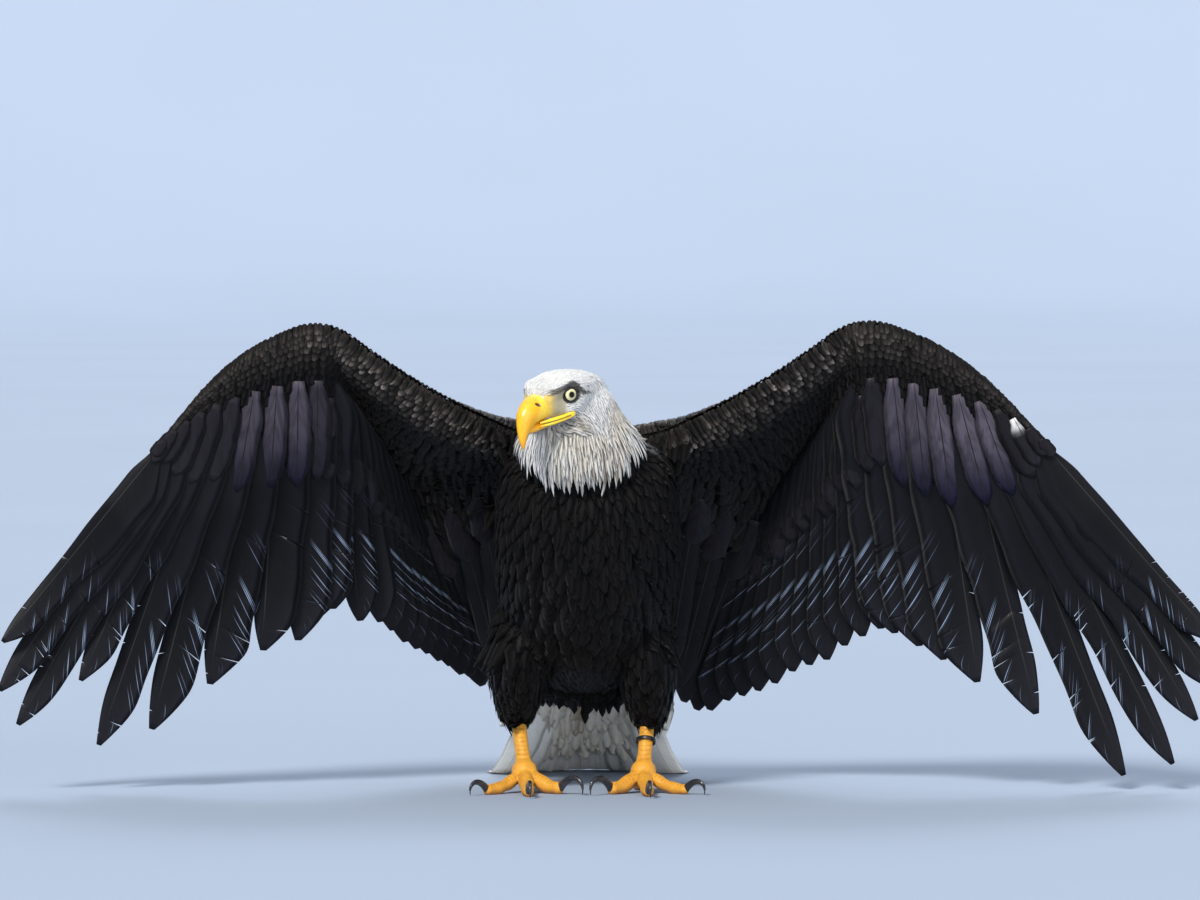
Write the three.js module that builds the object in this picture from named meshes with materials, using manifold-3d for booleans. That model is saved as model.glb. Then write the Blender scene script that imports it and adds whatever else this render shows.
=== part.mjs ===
// A bald eagle (Haliaeetus leucocephalus), adult, life size: it stands on both feet with its wings half open,
// its head turned to its own right, and its tail laid on the floor behind it.
// Millimetres, +Z up. The bird faces -Y and its left side is +X. The whole bird is modelled first and then
// parted with thin cuts; the origin is the centre of its box, on the floor.
import * as THREE from "three";
import { mergeVertices } from "three/addons/utils/BufferGeometryUtils.js";
import Module from "manifold-3d";

// ---------------------------------------------------------------------------------------------------------
// Driving dimensions
// ---------------------------------------------------------------------------------------------------------
const GAP = 0.35; // between two pieces that meet
const CUT = 0.4; // width of the thin cuts that part the body
const FAR = 400; // reach of a cutting tool past what it cuts

const HEAD = {
  middle: [-40, -137, 462.5], // the point halfway between the eyes
  turn: 38, // degrees to the bird's right
  nod: 11, // degrees down
  eyeSide: 19.5,
  eyeRadius: 11,
};

// Stations of the upper bill, cere included, from the face to the hook's point, in the head's own axes:
// [forward, up, half depth, half width].
const UPPER_BILL = [
  [20, -8, 13.5, 14.5],
  [28.6, -8.5, 14.5, 15],
  [41, -10.5, 14.8, 13.3],
  [51, -16, 12.8, 11],
  [57.5, -25, 9.6, 8.2],
  [61.5, -34.5, 6, 5.6],
  [63, -43.5, 3.6, 3.4],
  [62.6, -50.5, 0.9, 0.9],
];
const LOWER_BILL = [
  [6, -26, 5, 11],
  [22, -27.5, 5.8, 11.5],
  [37, -29.5, 5.4, 9],
  [49, -31, 4, 6.2],
  [58, -31.6, 1.2, 2],
];
const GAPE = [-13, 20, -24]; // corner of the mouth: forward, side, up
const MOUTH = [40, 9.5, -25]; // where the lips leave the bill's edge

// Stations of the trunk along its axis: [y, z, half width, depth to the back, depth to the belly].
const TRUNK = [
  [-72, 396, 70, 34, 40],
  [-58, 378, 98, 62, 68],
  [-32, 332, 110, 86, 92],
  [6, 268, 111, 92, 106],
  [44, 212, 105, 84, 102],
  [80, 164, 84, 62, 72],
  [108, 134, 58, 38, 40],
  [120, 122, 34, 20, 22],
];

// Stations of the neck and its ruff of long hackles: [x, y, z, half width, depth to the nape, depth to the throat].
const NECK = [
  [4, -36, 368, 60, 50, 50],
  [0, -60, 384, 74, 54, 64],
  [-9, -84, 400, 75, 54, 62],
  [-11, -98, 420, 64, 52, 56],
  [-14, -106, 440, 55, 48, 48],
  [-18, -112, 460, 47, 42, 36],
  [-24, -116, 474, 32, 26, 24],
];

// Stations of the head along its own forward axis: [forward, half width, up to the crown, down to the chin].
const CRANIUM = [
  [-72, 14, 2, 12],
  [-64, 26, 10, 24],
  [-48, 34, 19, 34],
  [-28, 37, 24, 38],
  [-8, 36, 26, 36],
  [10, 31, 23.5, 32],
  [22, 25, 16.5, 28],
  [30, 17, 9, 24],
  [34, 10, 3, 20],
];

// One wing each: shoulder, wrist and the end of the hand lie on its leading edge.
// fan* are degrees from straight down, outwards, of the first and last quill, and for the primaries the share of the
// hand past which they open; primaries are the lengths of P1 to P10, and secondaries those of the first and last.
const WINGS = {
  left: {
    side: 1,
    shoulder: [86, -22, 414],
    elbow: [228, 98, 348],
    wrist: [309, -62, 550],
    handEnd: [503, -46, 424],
    fanPrimaries: [6, 41.4, 0.2],
    primaries: [345, 358, 366, 384, 418, 498, 486, 430, 392, 318],
    fanSecondaries: [6, -22],
    secondaries: [334, 300],
  },
  right: {
    side: -1,
    shoulder: [-86, -22, 416],
    elbow: [-222, 98, 350],
    wrist: [-300, -62, 547],
    handEnd: [-470, -46, 423],
    fanPrimaries: [1, 39.2, 0],
    primaries: [322, 346, 350, 384, 434, 451, 368, 424, 378, 307],
    fanSecondaries: [-5, -23],
    secondaries: [310, 268],
  },
};
const SHOULDER_INWARDS = 50; // the wing's feathers lie over the back this far inside the shoulder
const FAN = 46; // degrees the primaries would open by if they opened evenly over the whole hand
const ARM_SAG = 9; // the skin's edge between shoulder and wrist dips by this
const HAND_BULGE = 21; // and bows outwards by this along the hand
const WRIST_ROUND = 0.16; // share of each edge that is rounded into the wrist
const BONE_DEPTH = 20; // of the quills' roots behind the leading edge, at the hand
const PRIMARIES = 10;
const SECONDARIES = 16; // with the tertials, which grow from the upper arm
const TERTIALS = 4;
const ELBOW_AT = 0.66; // share of the way from the wrist to the shoulder, along the bones
const BACK_SLOPE = { handEnd: 0.02, wrist: 0.33, elbow: 0.56, shoulder: 0.7 }; // backwards for each mm of fall
const COVER = { handEnd: 34, wrist: 158, elbow: 148, shoulder: 96 }; // length of the coverts past the bone
const QUILL = { lead: 14, trail: 30, slim: 0.74, thickRoot: 4.2, thickTip: 1.3, bow: 13 };

const TAIL = {
  feathers: 12,
  base: [0, 96, 116],
  length: 290,
  spread: 14, // degrees to each side
  baseHalf: 52, // half the width of the roots' row
  vane: 21, // half the width of one vane
  settle: 0.86, // the feathers lie on the floor from this share of their length
};
const TAIL_COVERTS = [
  // [y, z, half width, up, down]
  [92, 132, 60, 34, 38],
  [122, 116, 98, 28, 32],
  [152, 96, 106, 19, 24],
  [184, 77, 99, 10, 15],
  [214, 61, 84, 3, 5],
];

const LEG = {
  hip: { left: [64, 26, 196], right: [-76, 26, 196] },
  ankle: { left: [70, 42, 92], right: [-82, 42, 94] },
  foot: { left: [64, 2, 25], right: [-73, 2, 25] },
  shank: 8.6, // radius of the bare leg
  padRadius: 15,
};
const THIGH = [
  // [share of the way from hip to ankle, half width, half depth]
  [-0.2, 26, 36],
  [0.1, 40, 58],
  [0.45, 41, 60],
  [0.75, 36, 48],
  [1.0, 28, 35],
  [1.22, 19, 23],
];
// Each toe: degrees outwards from straight ahead, length, root and tip radius, and the claw's chord.
const TOES = {
  inner: { left: -44, right: -50, length: 42, root: 10.5, tip: 7.2, claw: 35 },
  middle: { left: 4, right: -4, length: 66, root: 9.6, tip: 6.6, claw: 31 },
  outer: { left: 52, right: 44, length: 50, root: 8.6, tip: 6.2, claw: 27 },
  hallux: { left: 188, right: 186, length: 38, root: 10.5, tip: 7.4, claw: 37 },
};
const TOE_ARCH = 14; // the toes slope up to the foot's ball by this
const BAND = { height: 4.5, wall: 1.8, up: 38 };

const COLOUR = {
  white: 0xf2efe6,
  dark: 0x17120f,
  flight: 0x1b1a1f,
  bill: 0xf0a91a,
  foot: 0xe29a2c,
  claw: 0x1d1c20,
  iris: 0xd9c98a,
  band: 0x1a1a1c,
};

// ---------------------------------------------------------------------------------------------------------
// Small helpers
// ---------------------------------------------------------------------------------------------------------
const wasm = await Module();
wasm.setup();

const vec = (p) => new THREE.Vector3(p[0], p[1], p[2]);
const mix = (a, b, t) => a + (b - a) * t;
const clamp = THREE.MathUtils.clamp;
const rad = THREE.MathUtils.degToRad;
const FRONT = new THREE.Vector3(0, -1, 0);
const UP = new THREE.Vector3(0, 0, 1);
const SIDE = new THREE.Vector3(1, 0, 0);

/** The values of a table's columns at x, where its first column is x or its row number. */
function smoothRow(rows, at) {
  const last = rows.length - 1;
  const k = clamp(Math.floor(at), 0, last - 1);
  const t = clamp(at - k, 0, 1);
  const [p, a, b, n] = [k - 1, k, k + 1, k + 2].map((i) => rows[clamp(i, 0, last)]);
  return a.map((_, c) => {
    const slopeA = (b[c] - p[c]) / 2;
    const slopeB = (n[c] - a[c]) / 2;
    const t2 = t * t;
    const t3 = t2 * t;
    return (
      (2 * t3 - 3 * t2 + 1) * a[c] + (t3 - 2 * t2 + t) * slopeA + (3 * t2 - 2 * t3) * b[c] + (t3 - t2) * slopeB
    );
  });
}

/** A closed solid from rings of equally many points, with a fan of triangles over each end. */
function loft(rings) {
  const n = rings[0].length;
  const points = rings.flat();
  const faces = [];
  for (let r = 0; r + 1 < rings.length; r++) {
    for (let k = 0; k < n; k++) {
      const a = r * n + k;
      const b = r * n + ((k + 1) % n);
      faces.push(a, b, b + n, a, b + n, a + n);
    }
  }
  for (const [r, turn] of [
    [0, 1],
    [rings.length - 1, 0],
  ]) {
    const centre = rings[r].reduce((s, p) => s.add(p), new THREE.Vector3()).divideScalar(n);
    const c = points.push(centre) - 1;
    for (let k = 0; k < n; k++) {
      const a = r * n + k;
      const b = r * n + ((k + 1) % n);
      faces.push(...(turn ? [c, b, a] : [c, a, b]));
    }
  }
  return solidOf(points, faces);
}

/** A manifold solid from points and triangles, turned to face out. */
function solidOf(points, faces) {
  const geometry = new THREE.BufferGeometry().setFromPoints(points).setIndex(faces);
  const merged = mergeVertices(geometry, 1e-4);
  const vertProperties = new Float32Array(merged.attributes.position.array);
  const triVerts = new Uint32Array(merged.index.array);
  let solid = new wasm.Manifold(new wasm.Mesh({ numProp: 3, vertProperties, triVerts }));
  if (solid.volume() < 0) {
    for (let i = 0; i < triVerts.length; i += 3) [triVerts[i + 1], triVerts[i + 2]] = [triVerts[i + 2], triVerts[i + 1]];
    solid = new wasm.Manifold(new wasm.Mesh({ numProp: 3, vertProperties, triVerts }));
  }
  return solid;
}

/** A manifold solid from a closed three.js geometry. */
function solidFrom(geometry) {
  const g = geometry.clone();
  g.deleteAttribute("normal");
  g.deleteAttribute("uv");
  const merged = mergeVertices(g, 1e-4);
  const p = merged.attributes.position;
  const points = Array.from({ length: p.count }, (_, i) => new THREE.Vector3().fromBufferAttribute(p, i));
  return solidOf(points, Array.from(merged.index.array));
}

/** The piece of a solid with the most volume. */
function largest(solid) {
  return solid.decompose().reduce((a, b) => (a.volume() > b.volume() ? a : b));
}

/** The part of a solid above the floor. */
function standOn(solid) {
  const floor = new THREE.BoxGeometry(4 * FAR, 4 * FAR, FAR).translate(0, 0, -FAR / 2);
  return solid.subtract(solidFrom(floor));
}

/** An oval ring round centre, in the plane of right and up; heights above and below it may differ. */
function oval(centre, right, up, half, above, below, sides, square = 1) {
  const bend = (c) => Math.sign(c) * Math.abs(c) ** square;
  return Array.from({ length: sides }, (_, k) => {
    const a = (2 * Math.PI * k) / sides;
    const s = Math.sin(a);
    return centre
      .clone()
      .addScaledVector(right, half * bend(Math.cos(a)))
      .addScaledVector(up, (s > 0 ? above : below) * bend(s));
  });
}

/** A thin plate across the body, square to normal, used to cut it in two. */
function slab(centre, normal, wide, deep) {
  const turn = new THREE.Quaternion().setFromUnitVectors(UP, vec(normal).normalize());
  const plate = new THREE.BoxGeometry(wide, deep, CUT).applyQuaternion(turn).translate(...centre);
  return solidFrom(plate);
}

/** A tube of round or oval sections whose radius is a function of the way along a curve. */
function taper(curve, steps, sides, radius, flat = 1) {
  const rings = [];
  for (let i = 0; i <= steps; i++) {
    const t = i / steps;
    const tangent = curve.getTangent(t);
    const across = new THREE.Vector3().crossVectors(tangent, UP);
    if (across.lengthSq() < 1e-6) across.copy(SIDE);
    across.normalize();
    const over = new THREE.Vector3().crossVectors(across, tangent).normalize();
    const r = radius(t);
    rings.push(oval(curve.getPoint(t), across, over, r, r * flat, r * flat, sides));
  }
  return loft(rings);
}

// ---------------------------------------------------------------------------------------------------------
// Trunk, neck and head
// ---------------------------------------------------------------------------------------------------------
const TRUNK_SIDES = 16;

function trunk(grow = 0) {
  const rings = [];
  const steps = 8;
  for (let i = 0; i <= steps; i++) {
    const at = ((TRUNK.length - 1) * i) / steps;
    const [y, z, half, back, belly] = smoothRow(TRUNK, at);
    const ahead = smoothRow(TRUNK, Math.min(at + 0.2, TRUNK.length - 1));
    const behind = smoothRow(TRUNK, Math.max(at - 0.2, 0));
    const axis = new THREE.Vector3(0, ahead[0] - behind[0], ahead[1] - behind[1]).normalize();
    const dorsal = new THREE.Vector3().crossVectors(axis, SIDE).normalize();
    if (dorsal.y < 0) dorsal.negate();
    const middle = new THREE.Vector3(0, y, z);
    if (i === 0 || i === steps) middle.addScaledVector(axis, i ? grow : -grow);
    rings.push(oval(middle, SIDE, dorsal, half + grow, back + grow, belly + grow, TRUNK_SIDES));
  }
  return loft(rings);
}

function neck() {
  const rings = [];
  const steps = 6;
  for (let i = 0; i <= steps; i++) {
    const at = ((NECK.length - 1) * i) / steps;
    const [x, y, z, half, nape, throat] = smoothRow(NECK, at);
    const lean = rad(mix(48, 20, i / steps));
    const over = new THREE.Vector3(0, Math.cos(lean), Math.sin(lean));
    rings.push(oval(new THREE.Vector3(x, y, z), SIDE, over, half, nape, throat, TRUNK_SIDES));
  }
  return loft(rings);
}

const headAxes = (() => {
  const turn = rad(HEAD.turn);
  const nod = rad(HEAD.nod);
  const level = new THREE.Vector3(-Math.sin(turn), -Math.cos(turn), 0);
  const left = new THREE.Vector3(Math.cos(turn), -Math.sin(turn), 0);
  const forward = level.clone().multiplyScalar(Math.cos(nod)).addScaledVector(UP, -Math.sin(nod));
  const up = level.clone().multiplyScalar(Math.sin(nod)).addScaledVector(UP, Math.cos(nod));
  return { forward, left, up };
})();

/** A point of the head from its own coordinates: forward, to the left, up. */
function headPoint(forward, left, up) {
  return vec(HEAD.middle)
    .addScaledVector(headAxes.forward, forward)
    .addScaledVector(headAxes.left, left)
    .addScaledVector(headAxes.up, up);
}

function eye(side, grow = 0) {
  const centre = headPoint(0, side * HEAD.eyeSide, 0);
  const ball = new THREE.SphereGeometry(HEAD.eyeRadius + grow, 10, 7).translate(centre.x, centre.y, centre.z);
  return solidFrom(ball);
}

/** The bony brow that overhangs each eye. */
function brow(side) {
  const line = new THREE.QuadraticBezierCurve3(
    headPoint(27, side * 15, 7),
    headPoint(4, side * 36, 15),
    headPoint(-26, side * 32, 4),
  );
  return taper(line, 4, 5, (t) => 2.2 + 4.2 * Math.sin(Math.PI * clamp(t, 0.04, 0.96)));
}

/** The hollow below the brow that the eye looks out of. */
function orbit(side) {
  const hollow = new THREE.SphereGeometry(1, 8, 6).scale(17, 11, 10);
  const basis = new THREE.Matrix4().makeBasis(headAxes.forward, headAxes.left, headAxes.up);
  basis.setPosition(headPoint(3, side * 38.5, -1));
  return solidFrom(hollow.applyMatrix4(basis));
}

function cranium() {
  const rings = CRANIUM.map(([forward, half, above, below]) =>
    oval(headPoint(forward, 0, 0), headAxes.left, headAxes.up, half, above, below, 12, 0.88),
  );
  return loft(rings).add(brow(1)).add(brow(-1));
}

/** Upper bill and cere: the middle line runs forward and then curls down into the hook. */
function upperBill(grow = 0) {
  const last = UPPER_BILL.length - 1;
  const steps = 7;
  const rings = [];
  for (let i = 0; i <= steps; i++) {
    const at = (last * i) / steps;
    const [f, u, deep, half] = smoothRow(UPPER_BILL, at);
    const a = smoothRow(UPPER_BILL, Math.min(at + 0.15, last));
    const b = smoothRow(UPPER_BILL, Math.max(at - 0.15, 0));
    const run = new THREE.Vector2(a[0] - b[0], a[1] - b[1]).normalize();
    const over = headAxes.forward.clone().multiplyScalar(-run.y).addScaledVector(headAxes.up, run.x);
    rings.push(oval(headPoint(f, 0, u), headAxes.left, over, half + grow, deep + grow, deep + grow, 10, 0.86));
  }
  return loft(rings).add(lip(1, 1, grow)).add(lip(-1, 1, grow));
}

/** The yellow edge of the mouth that runs back under the eye; level is 1 on the upper bill, -1 on the lower. */
function lip(side, level, grow) {
  const lift = level * 2;
  const [start, end] = [MOUTH, GAPE].map(([f, s, u]) => headPoint(f, side * s, u + lift));
  const bow = headPoint(12, side * 18, GAPE[2] + 2 + lift);
  return taper(new THREE.QuadraticBezierCurve3(start, bow, end), 2, 4, (t) => mix(2.4, 1.3, t) + grow);
}

function lowerBill(grow = 0) {
  const rings = LOWER_BILL.map(([f, u, deep, half]) =>
    oval(headPoint(f, 0, u), headAxes.left, headAxes.up, half + grow, deep + grow, deep + grow, 8, 0.86),
  );
  return loft(rings).add(lip(1, -1, grow)).add(lip(-1, -1, grow));
}

// ---------------------------------------------------------------------------------------------------------
// Wings
// ---------------------------------------------------------------------------------------------------------
/** A point of the leading edge: u runs 0 to 1 from shoulder to wrist and 1 to 2 from wrist to the hand's end. */
function leadingEdge(wing, u) {
  const [shoulder, wrist, handEnd] = [wing.shoulder, wing.wrist, wing.handEnd].map(vec);
  const edge = (t) => {
    const [a, b, way, bow] = t < 1 ? [shoulder, wrist, t, -ARM_SAG] : [wrist, handEnd, t - 1, HAND_BULGE];
    const run = b.clone().sub(a).normalize();
    const out = new THREE.Vector3().crossVectors(run, FRONT).multiplyScalar(-wing.side).normalize();
    if (out.z < 0) out.negate();
    return a.clone().lerp(b, way).addScaledVector(out, bow * Math.sin(Math.PI * way));
  };
  const off = clamp(Math.abs(u - 1) / WRIST_ROUND, 0, 1);
  if (off >= 1) return edge(u);
  const before = edge(1 - WRIST_ROUND);
  const after = edge(1 + WRIST_ROUND);
  const t = (u - 1 + WRIST_ROUND) / (2 * WRIST_ROUND);
  return new THREE.QuadraticBezierCurve3(before, edge(1), after).getPoint(t);
}

/** Degrees outwards from straight down, slope backwards and cover length at a place along the bones.
 *  s is -1 at the hand's end, 0 at the wrist and 1 at the shoulder. */
function lieOfWing(wing, s) {
  const [inner, outer, opens] = wing.fanPrimaries;
  const [first, last] = wing.fanSecondaries;
  if (s < 0) {
    const open = THREE.MathUtils.smoothstep(-s, opens, opens + 0.4);
    return {
      angle: mix(inner - 4 * s, outer - FAN * (1 + s), open),
      slope: mix(BACK_SLOPE.wrist, BACK_SLOPE.handEnd, -s),
      cover: mix(COVER.wrist, COVER.handEnd, (-s) ** 1.6),
    };
  }
  if (s < ELBOW_AT) {
    const t = s / ELBOW_AT;
    return {
      angle: mix(mix(inner, first, Math.min(t * 6, 1)), last, t),
      slope: mix(BACK_SLOPE.wrist, BACK_SLOPE.elbow, t),
      cover: mix(COVER.wrist, COVER.elbow, t),
    };
  }
  const t = (s - ELBOW_AT) / (1 - ELBOW_AT);
  return {
    angle: mix(last, -2, t),
    slope: mix(BACK_SLOPE.elbow, BACK_SLOPE.shoulder, t),
    cover: mix(COVER.elbow, COVER.shoulder, t),
  };
}

/** Unit vector along the feathers at s. */
function alongFeathers(wing, s) {
  const { angle, slope } = lieOfWing(wing, s);
  return new THREE.Vector3(wing.side * Math.sin(rad(angle)), slope, -Math.cos(rad(angle))).normalize();
}

/** The quills' root line: hand, forearm and upper arm. */
function boneLine(wing, s) {
  if (s < 0) return leadingEdge(wing, 1 - s).addScaledVector(alongFeathers(wing, s), mix(BONE_DEPTH, 12, -s));
  const wrist = leadingEdge(wing, 1).addScaledVector(alongFeathers(wing, 0), BONE_DEPTH);
  const elbow = vec(wing.elbow);
  const shoulder = vec(wing.shoulder).add(new THREE.Vector3(0, 44, -26));
  if (s < ELBOW_AT) return wrist.lerp(elbow, s / ELBOW_AT);
  return elbow.lerp(shoulder, (s - ELBOW_AT) / (1 - ELBOW_AT));
}

/** The part of a vector towards the front that is square to along: the way the wing's underside faces. */
function underside(along) {
  return FRONT.clone().addScaledVector(along, -FRONT.dot(along)).normalize();
}

// Half thickness of the fleshy wing at shares of its chord.
const CHORD_STOPS = [0, 0.035, 0.12, 0.3, 0.55, 0.8, 1];
const CHORD_SHAPE = [0.12, 0.62, 1, 0.86, 0.5, 0.24, 0.12];

/** One section of the covered wing, from the leading edge round its underside to the coverts' ends and back. */
function wingSection(wing, s, grow) {
  const lead = leadingEdge(wing, 1 - s);
  const bone = boneLine(wing, s);
  const along = alongFeathers(wing, s);
  const end = bone.clone().addScaledVector(along, lieOfWing(wing, s).cover + grow);
  const middle = new THREE.CatmullRomCurve3([lead, bone, end]);
  const thick = s < 0 ? mix(13, 7, -s) : mix(14, 24, Math.min(1, s * 1.3));
  const under = [];
  const over = [];
  CHORD_STOPS.forEach((q, i) => {
    const centre = middle.getPointAt(q);
    const face = underside(middle.getTangentAt(clamp(q, 0.02, 0.98)));
    const half = thick * CHORD_SHAPE[i] + grow;
    if (i === 0) centre.addScaledVector(middle.getTangentAt(0.02), -grow);
    under.push(centre.clone().addScaledVector(face, half));
    over.unshift(centre.clone().addScaledVector(face, -half));
  });
  return [...under, ...over];
}

/** The covered wing, from near the hand's end to inside the shoulder. */
function coveredWing(wing, steps, grow = 0) {
  const rings = [];
  for (let i = 0; i <= steps; i++) rings.push(wingSection(wing, mix(-0.97, 1, i / steps), grow));
  const inwards = new THREE.Vector3(-wing.side * SHOULDER_INWARDS, 0, -10);
  rings.push(rings[steps].map((p) => p.clone().add(inwards)));
  return loft(rings);
}

/** The middle of the covered wing's section at s, and the way from hand to arm there, square to the feathers. */
function wingMiddle(wing, s) {
  const end = boneLine(wing, s).addScaledVector(alongFeathers(wing, s), lieOfWing(wing, s).cover * 0.5);
  return end.toArray();
}

function wingAcross(wing, s) {
  const along = alongFeathers(wing, s);
  return new THREE.Vector3().crossVectors(along, underside(along)).toArray();
}

/** One flight feather's middle line, as a function of the way from root to tip, with the way its vane runs. */
function quill(wing, s, length) {
  const root = boneLine(wing, s);
  const { angle, slope } = lieOfWing(wing, s);
  const fall = new THREE.Vector3(wing.side * Math.sin(rad(angle)), slope, -Math.cos(rad(angle)));
  const along = fall.clone().normalize();
  const face = underside(along);
  const across = new THREE.Vector3().crossVectors(along, face).multiplyScalar(-wing.side).normalize();
  const at = (v) =>
    root
      .clone()
      .addScaledVector(fall, length * v)
      .addScaledVector(face, -QUILL.bow * Math.sin((Math.PI * Math.max(0, v - 0.35)) / 0.65));
  return { at, across, face };
}

/** How wide a vane is at v, on its leading or trailing side. Fingered quills narrow past their middle. */
function vaneWidth(v, full, slim) {
  const notch = THREE.MathUtils.smoothstep(v, 0.42, 0.68);
  const tip = Math.sqrt(Math.max(0, 1 - THREE.MathUtils.smoothstep(v, 0.8, 1.015) ** 1.6));
  return full * mix(1, slim, notch) * tip;
}

/** A fan of flight feathers as one solid: neighbours share an edge until they are too far apart to touch. */
function featherFan(quills, rows) {
  const points = [];
  const faces = [];
  const corner = []; // corner[feather][row][edge, shaft or edge] = index of the front point; the back is the next
  const pair = (point, face, half) => {
    points.push(point.clone().addScaledVector(face, half), point.clone().addScaledVector(face, -half));
    return points.length - 2;
  };
  quills.forEach((q, i) => {
    const before = quills[i - 1];
    let joined = Boolean(before);
    corner.push(
      rows.map((v, j) => {
        const half = q.thick(v) / 2;
        const middle = q.at(v);
        const outer = middle.clone().addScaledVector(q.across, q.lead(v));
        const inner = middle.clone().addScaledVector(q.across, -q.trail(v));
        let edge;
        const space = before ? Math.abs(before.at(v).sub(middle).dot(q.across)) : FAR;
        const meets = Boolean(before) && q.lead(v) + before.trail(v) > space;
        if (joined) joined = j < 2 || (meets && j < rows.length - 2);
        if (!joined && meets) {
          const room = space / 2 - GAP;
          const [own, next] = [Math.min(q.lead(v), room), corner[i - 1][j][2]];
          outer.copy(middle).addScaledVector(q.across, own);
          const side = before.at(v).addScaledVector(before.across, -Math.min(before.trail(v), room));
          points[next].copy(side).addScaledVector(before.face, half * 0.6);
          points[next + 1].copy(side).addScaledVector(before.face, -half * 0.6);
        }
        if (joined) {
          const shared = before.at(v).lerp(middle, 0.5);
          edge = corner[i - 1][j][2];
          points[edge].copy(shared).addScaledVector(q.face, half);
          points[edge + 1].copy(shared).addScaledVector(q.face, -half);
        } else {
          edge = pair(outer, q.face, half * 0.6);
        }
        return [edge, pair(middle, q.face, half), pair(inner, q.face, half * 0.6)];
      }),
    );
  });
  const quad = (a, b, c, d) => faces.push(a, b, c, a, c, d);
  corner.forEach((feather, i) => {
    const next = corner[i + 1];
    for (let j = 0; j + 1 < rows.length; j++) {
      const [e0, m0, t0] = feather[j];
      const [e1, m1, t1] = feather[j + 1];
      quad(e0, m0, m1, e1);
      quad(m0, t0, t1, m1);
      quad(m0 + 1, e0 + 1, e1 + 1, m1 + 1);
      quad(t0 + 1, m0 + 1, m1 + 1, t1 + 1);
      if (i === 0 || e1 !== corner[i - 1][j + 1][2]) quad(e0 + 1, e0, e1, e1 + 1);
      if (!next || t1 !== next[j + 1][0]) quad(t0, t0 + 1, t1 + 1, t1);
    }
    const [e, m, t] = feather[0];
    quad(e + 1, m + 1, m, e);
    quad(m + 1, t + 1, t, m);
    const [ee, mm, tt] = feather[rows.length - 1];
    quad(ee, mm, mm + 1, ee + 1);
    quad(mm, tt, tt + 1, mm + 1);
  });
  return solidOf(points, faces);
}

function primaries(wing) {
  const rows = [0.1, 0.5, 0.7, 0.9, 1];
  const quills = wing.primaries.map((length, k) => {
    const place = quill(wing, -(k + 0.35) / (PRIMARIES - 0.65), length);
    const fingered = THREE.MathUtils.smoothstep(k, 3, 6);
    const slim = mix(0.95, QUILL.slim, fingered);
    return {
      ...place,
      lead: (v) => vaneWidth(v, k === PRIMARIES - 1 ? 9 : QUILL.lead, mix(0.9, 0.8, fingered)) + 1,
      trail: (v) => vaneWidth(v, QUILL.trail + 7 * (1 - v) + 9 * (1 - fingered), slim) + 1,
      thick: (v) => mix(QUILL.thickRoot, QUILL.thickTip, v),
    };
  });
  return featherFan(quills.reverse(), rows);
}

function secondaries(wing) {
  const rows = [0.35, 0.93, 1];
  const quills = Array.from({ length: SECONDARIES }, (_, k) => {
    const flights = SECONDARIES - TERTIALS;
    const s = k < flights ? (ELBOW_AT * (k + 0.3)) / flights : mix(ELBOW_AT, 1, (k - flights + 0.7) / TERTIALS);
    const [first, last] = wing.secondaries;
    const length = k < flights ? mix(first, last, k / flights) : mix(last, 0.78 * last, (k - flights + 1) / TERTIALS);
    const place = quill(wing, s, length);
    const end = (v) => Math.sqrt(Math.max(0, 1 - THREE.MathUtils.smoothstep(v, 0.84, 1.015) ** 1.4));
    return {
      ...place,
      lead: (v) => 13 * end(v) + 1,
      trail: (v) => 21 * end(v) + 1,
      thick: (v) => mix(QUILL.thickRoot, QUILL.thickTip, v),
    };
  });
  return featherFan(quills, rows);
}

// ---------------------------------------------------------------------------------------------------------
// Tail
// ---------------------------------------------------------------------------------------------------------
/** Height of the tail's feathers above the floor at a share v of their length. */
function tailHeight(v) {
  const fall = clamp(1 - v / TAIL.settle, 0, 1);
  return TAIL.base[2] * fall ** 1.25 + 0.55;
}

function tail() {
  const rows = [0.3, 0.6, 0.86, 1];
  const reach = Math.sqrt(TAIL.length ** 2 - TAIL.base[2] ** 2);
  const quills = Array.from({ length: TAIL.feathers }, (_, k) => {
    const across = 1 - (2 * k) / (TAIL.feathers - 1);
    const turn = rad(TAIL.spread * across);
    const length = reach * (1 - 0.1 * across ** 2);
    const root = new THREE.Vector3(TAIL.baseHalf * across, TAIL.base[1], 0);
    const run = new THREE.Vector3(Math.sin(turn), Math.cos(turn), 0);
    const at = (v) => root.clone().addScaledVector(run, length * v).setZ(tailHeight(v) - 5 * across ** 2 * (1 - v) * v);
    const end = (v) => Math.sqrt(Math.max(0, 1 - THREE.MathUtils.smoothstep(v, 0.86, 1.01) ** 1.6));
    return {
      at,
      across: new THREE.Vector3(run.y, -run.x, 0),
      face: new THREE.Vector3(0, -0.35, -1).normalize(),
      lead: (v) => TAIL.vane * end(v) * 0.8 + 1,
      trail: (v) => TAIL.vane * end(v) + 1,
      thick: (v) => mix(3.4, 1.5, v),
    };
  });
  return standOn(featherFan(quills, rows));
}

function tailCoverts(grow = 0) {
  const rings = TAIL_COVERTS.map(([y, z, half, above, below]) =>
    oval(
      new THREE.Vector3(0, y, z),
      SIDE,
      new THREE.Vector3(0, 0.5, 0.87),
      half + grow,
      above + grow,
      below + grow,
      TRUNK_SIDES,
    ),
  );
  return loft(rings);
}

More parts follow.
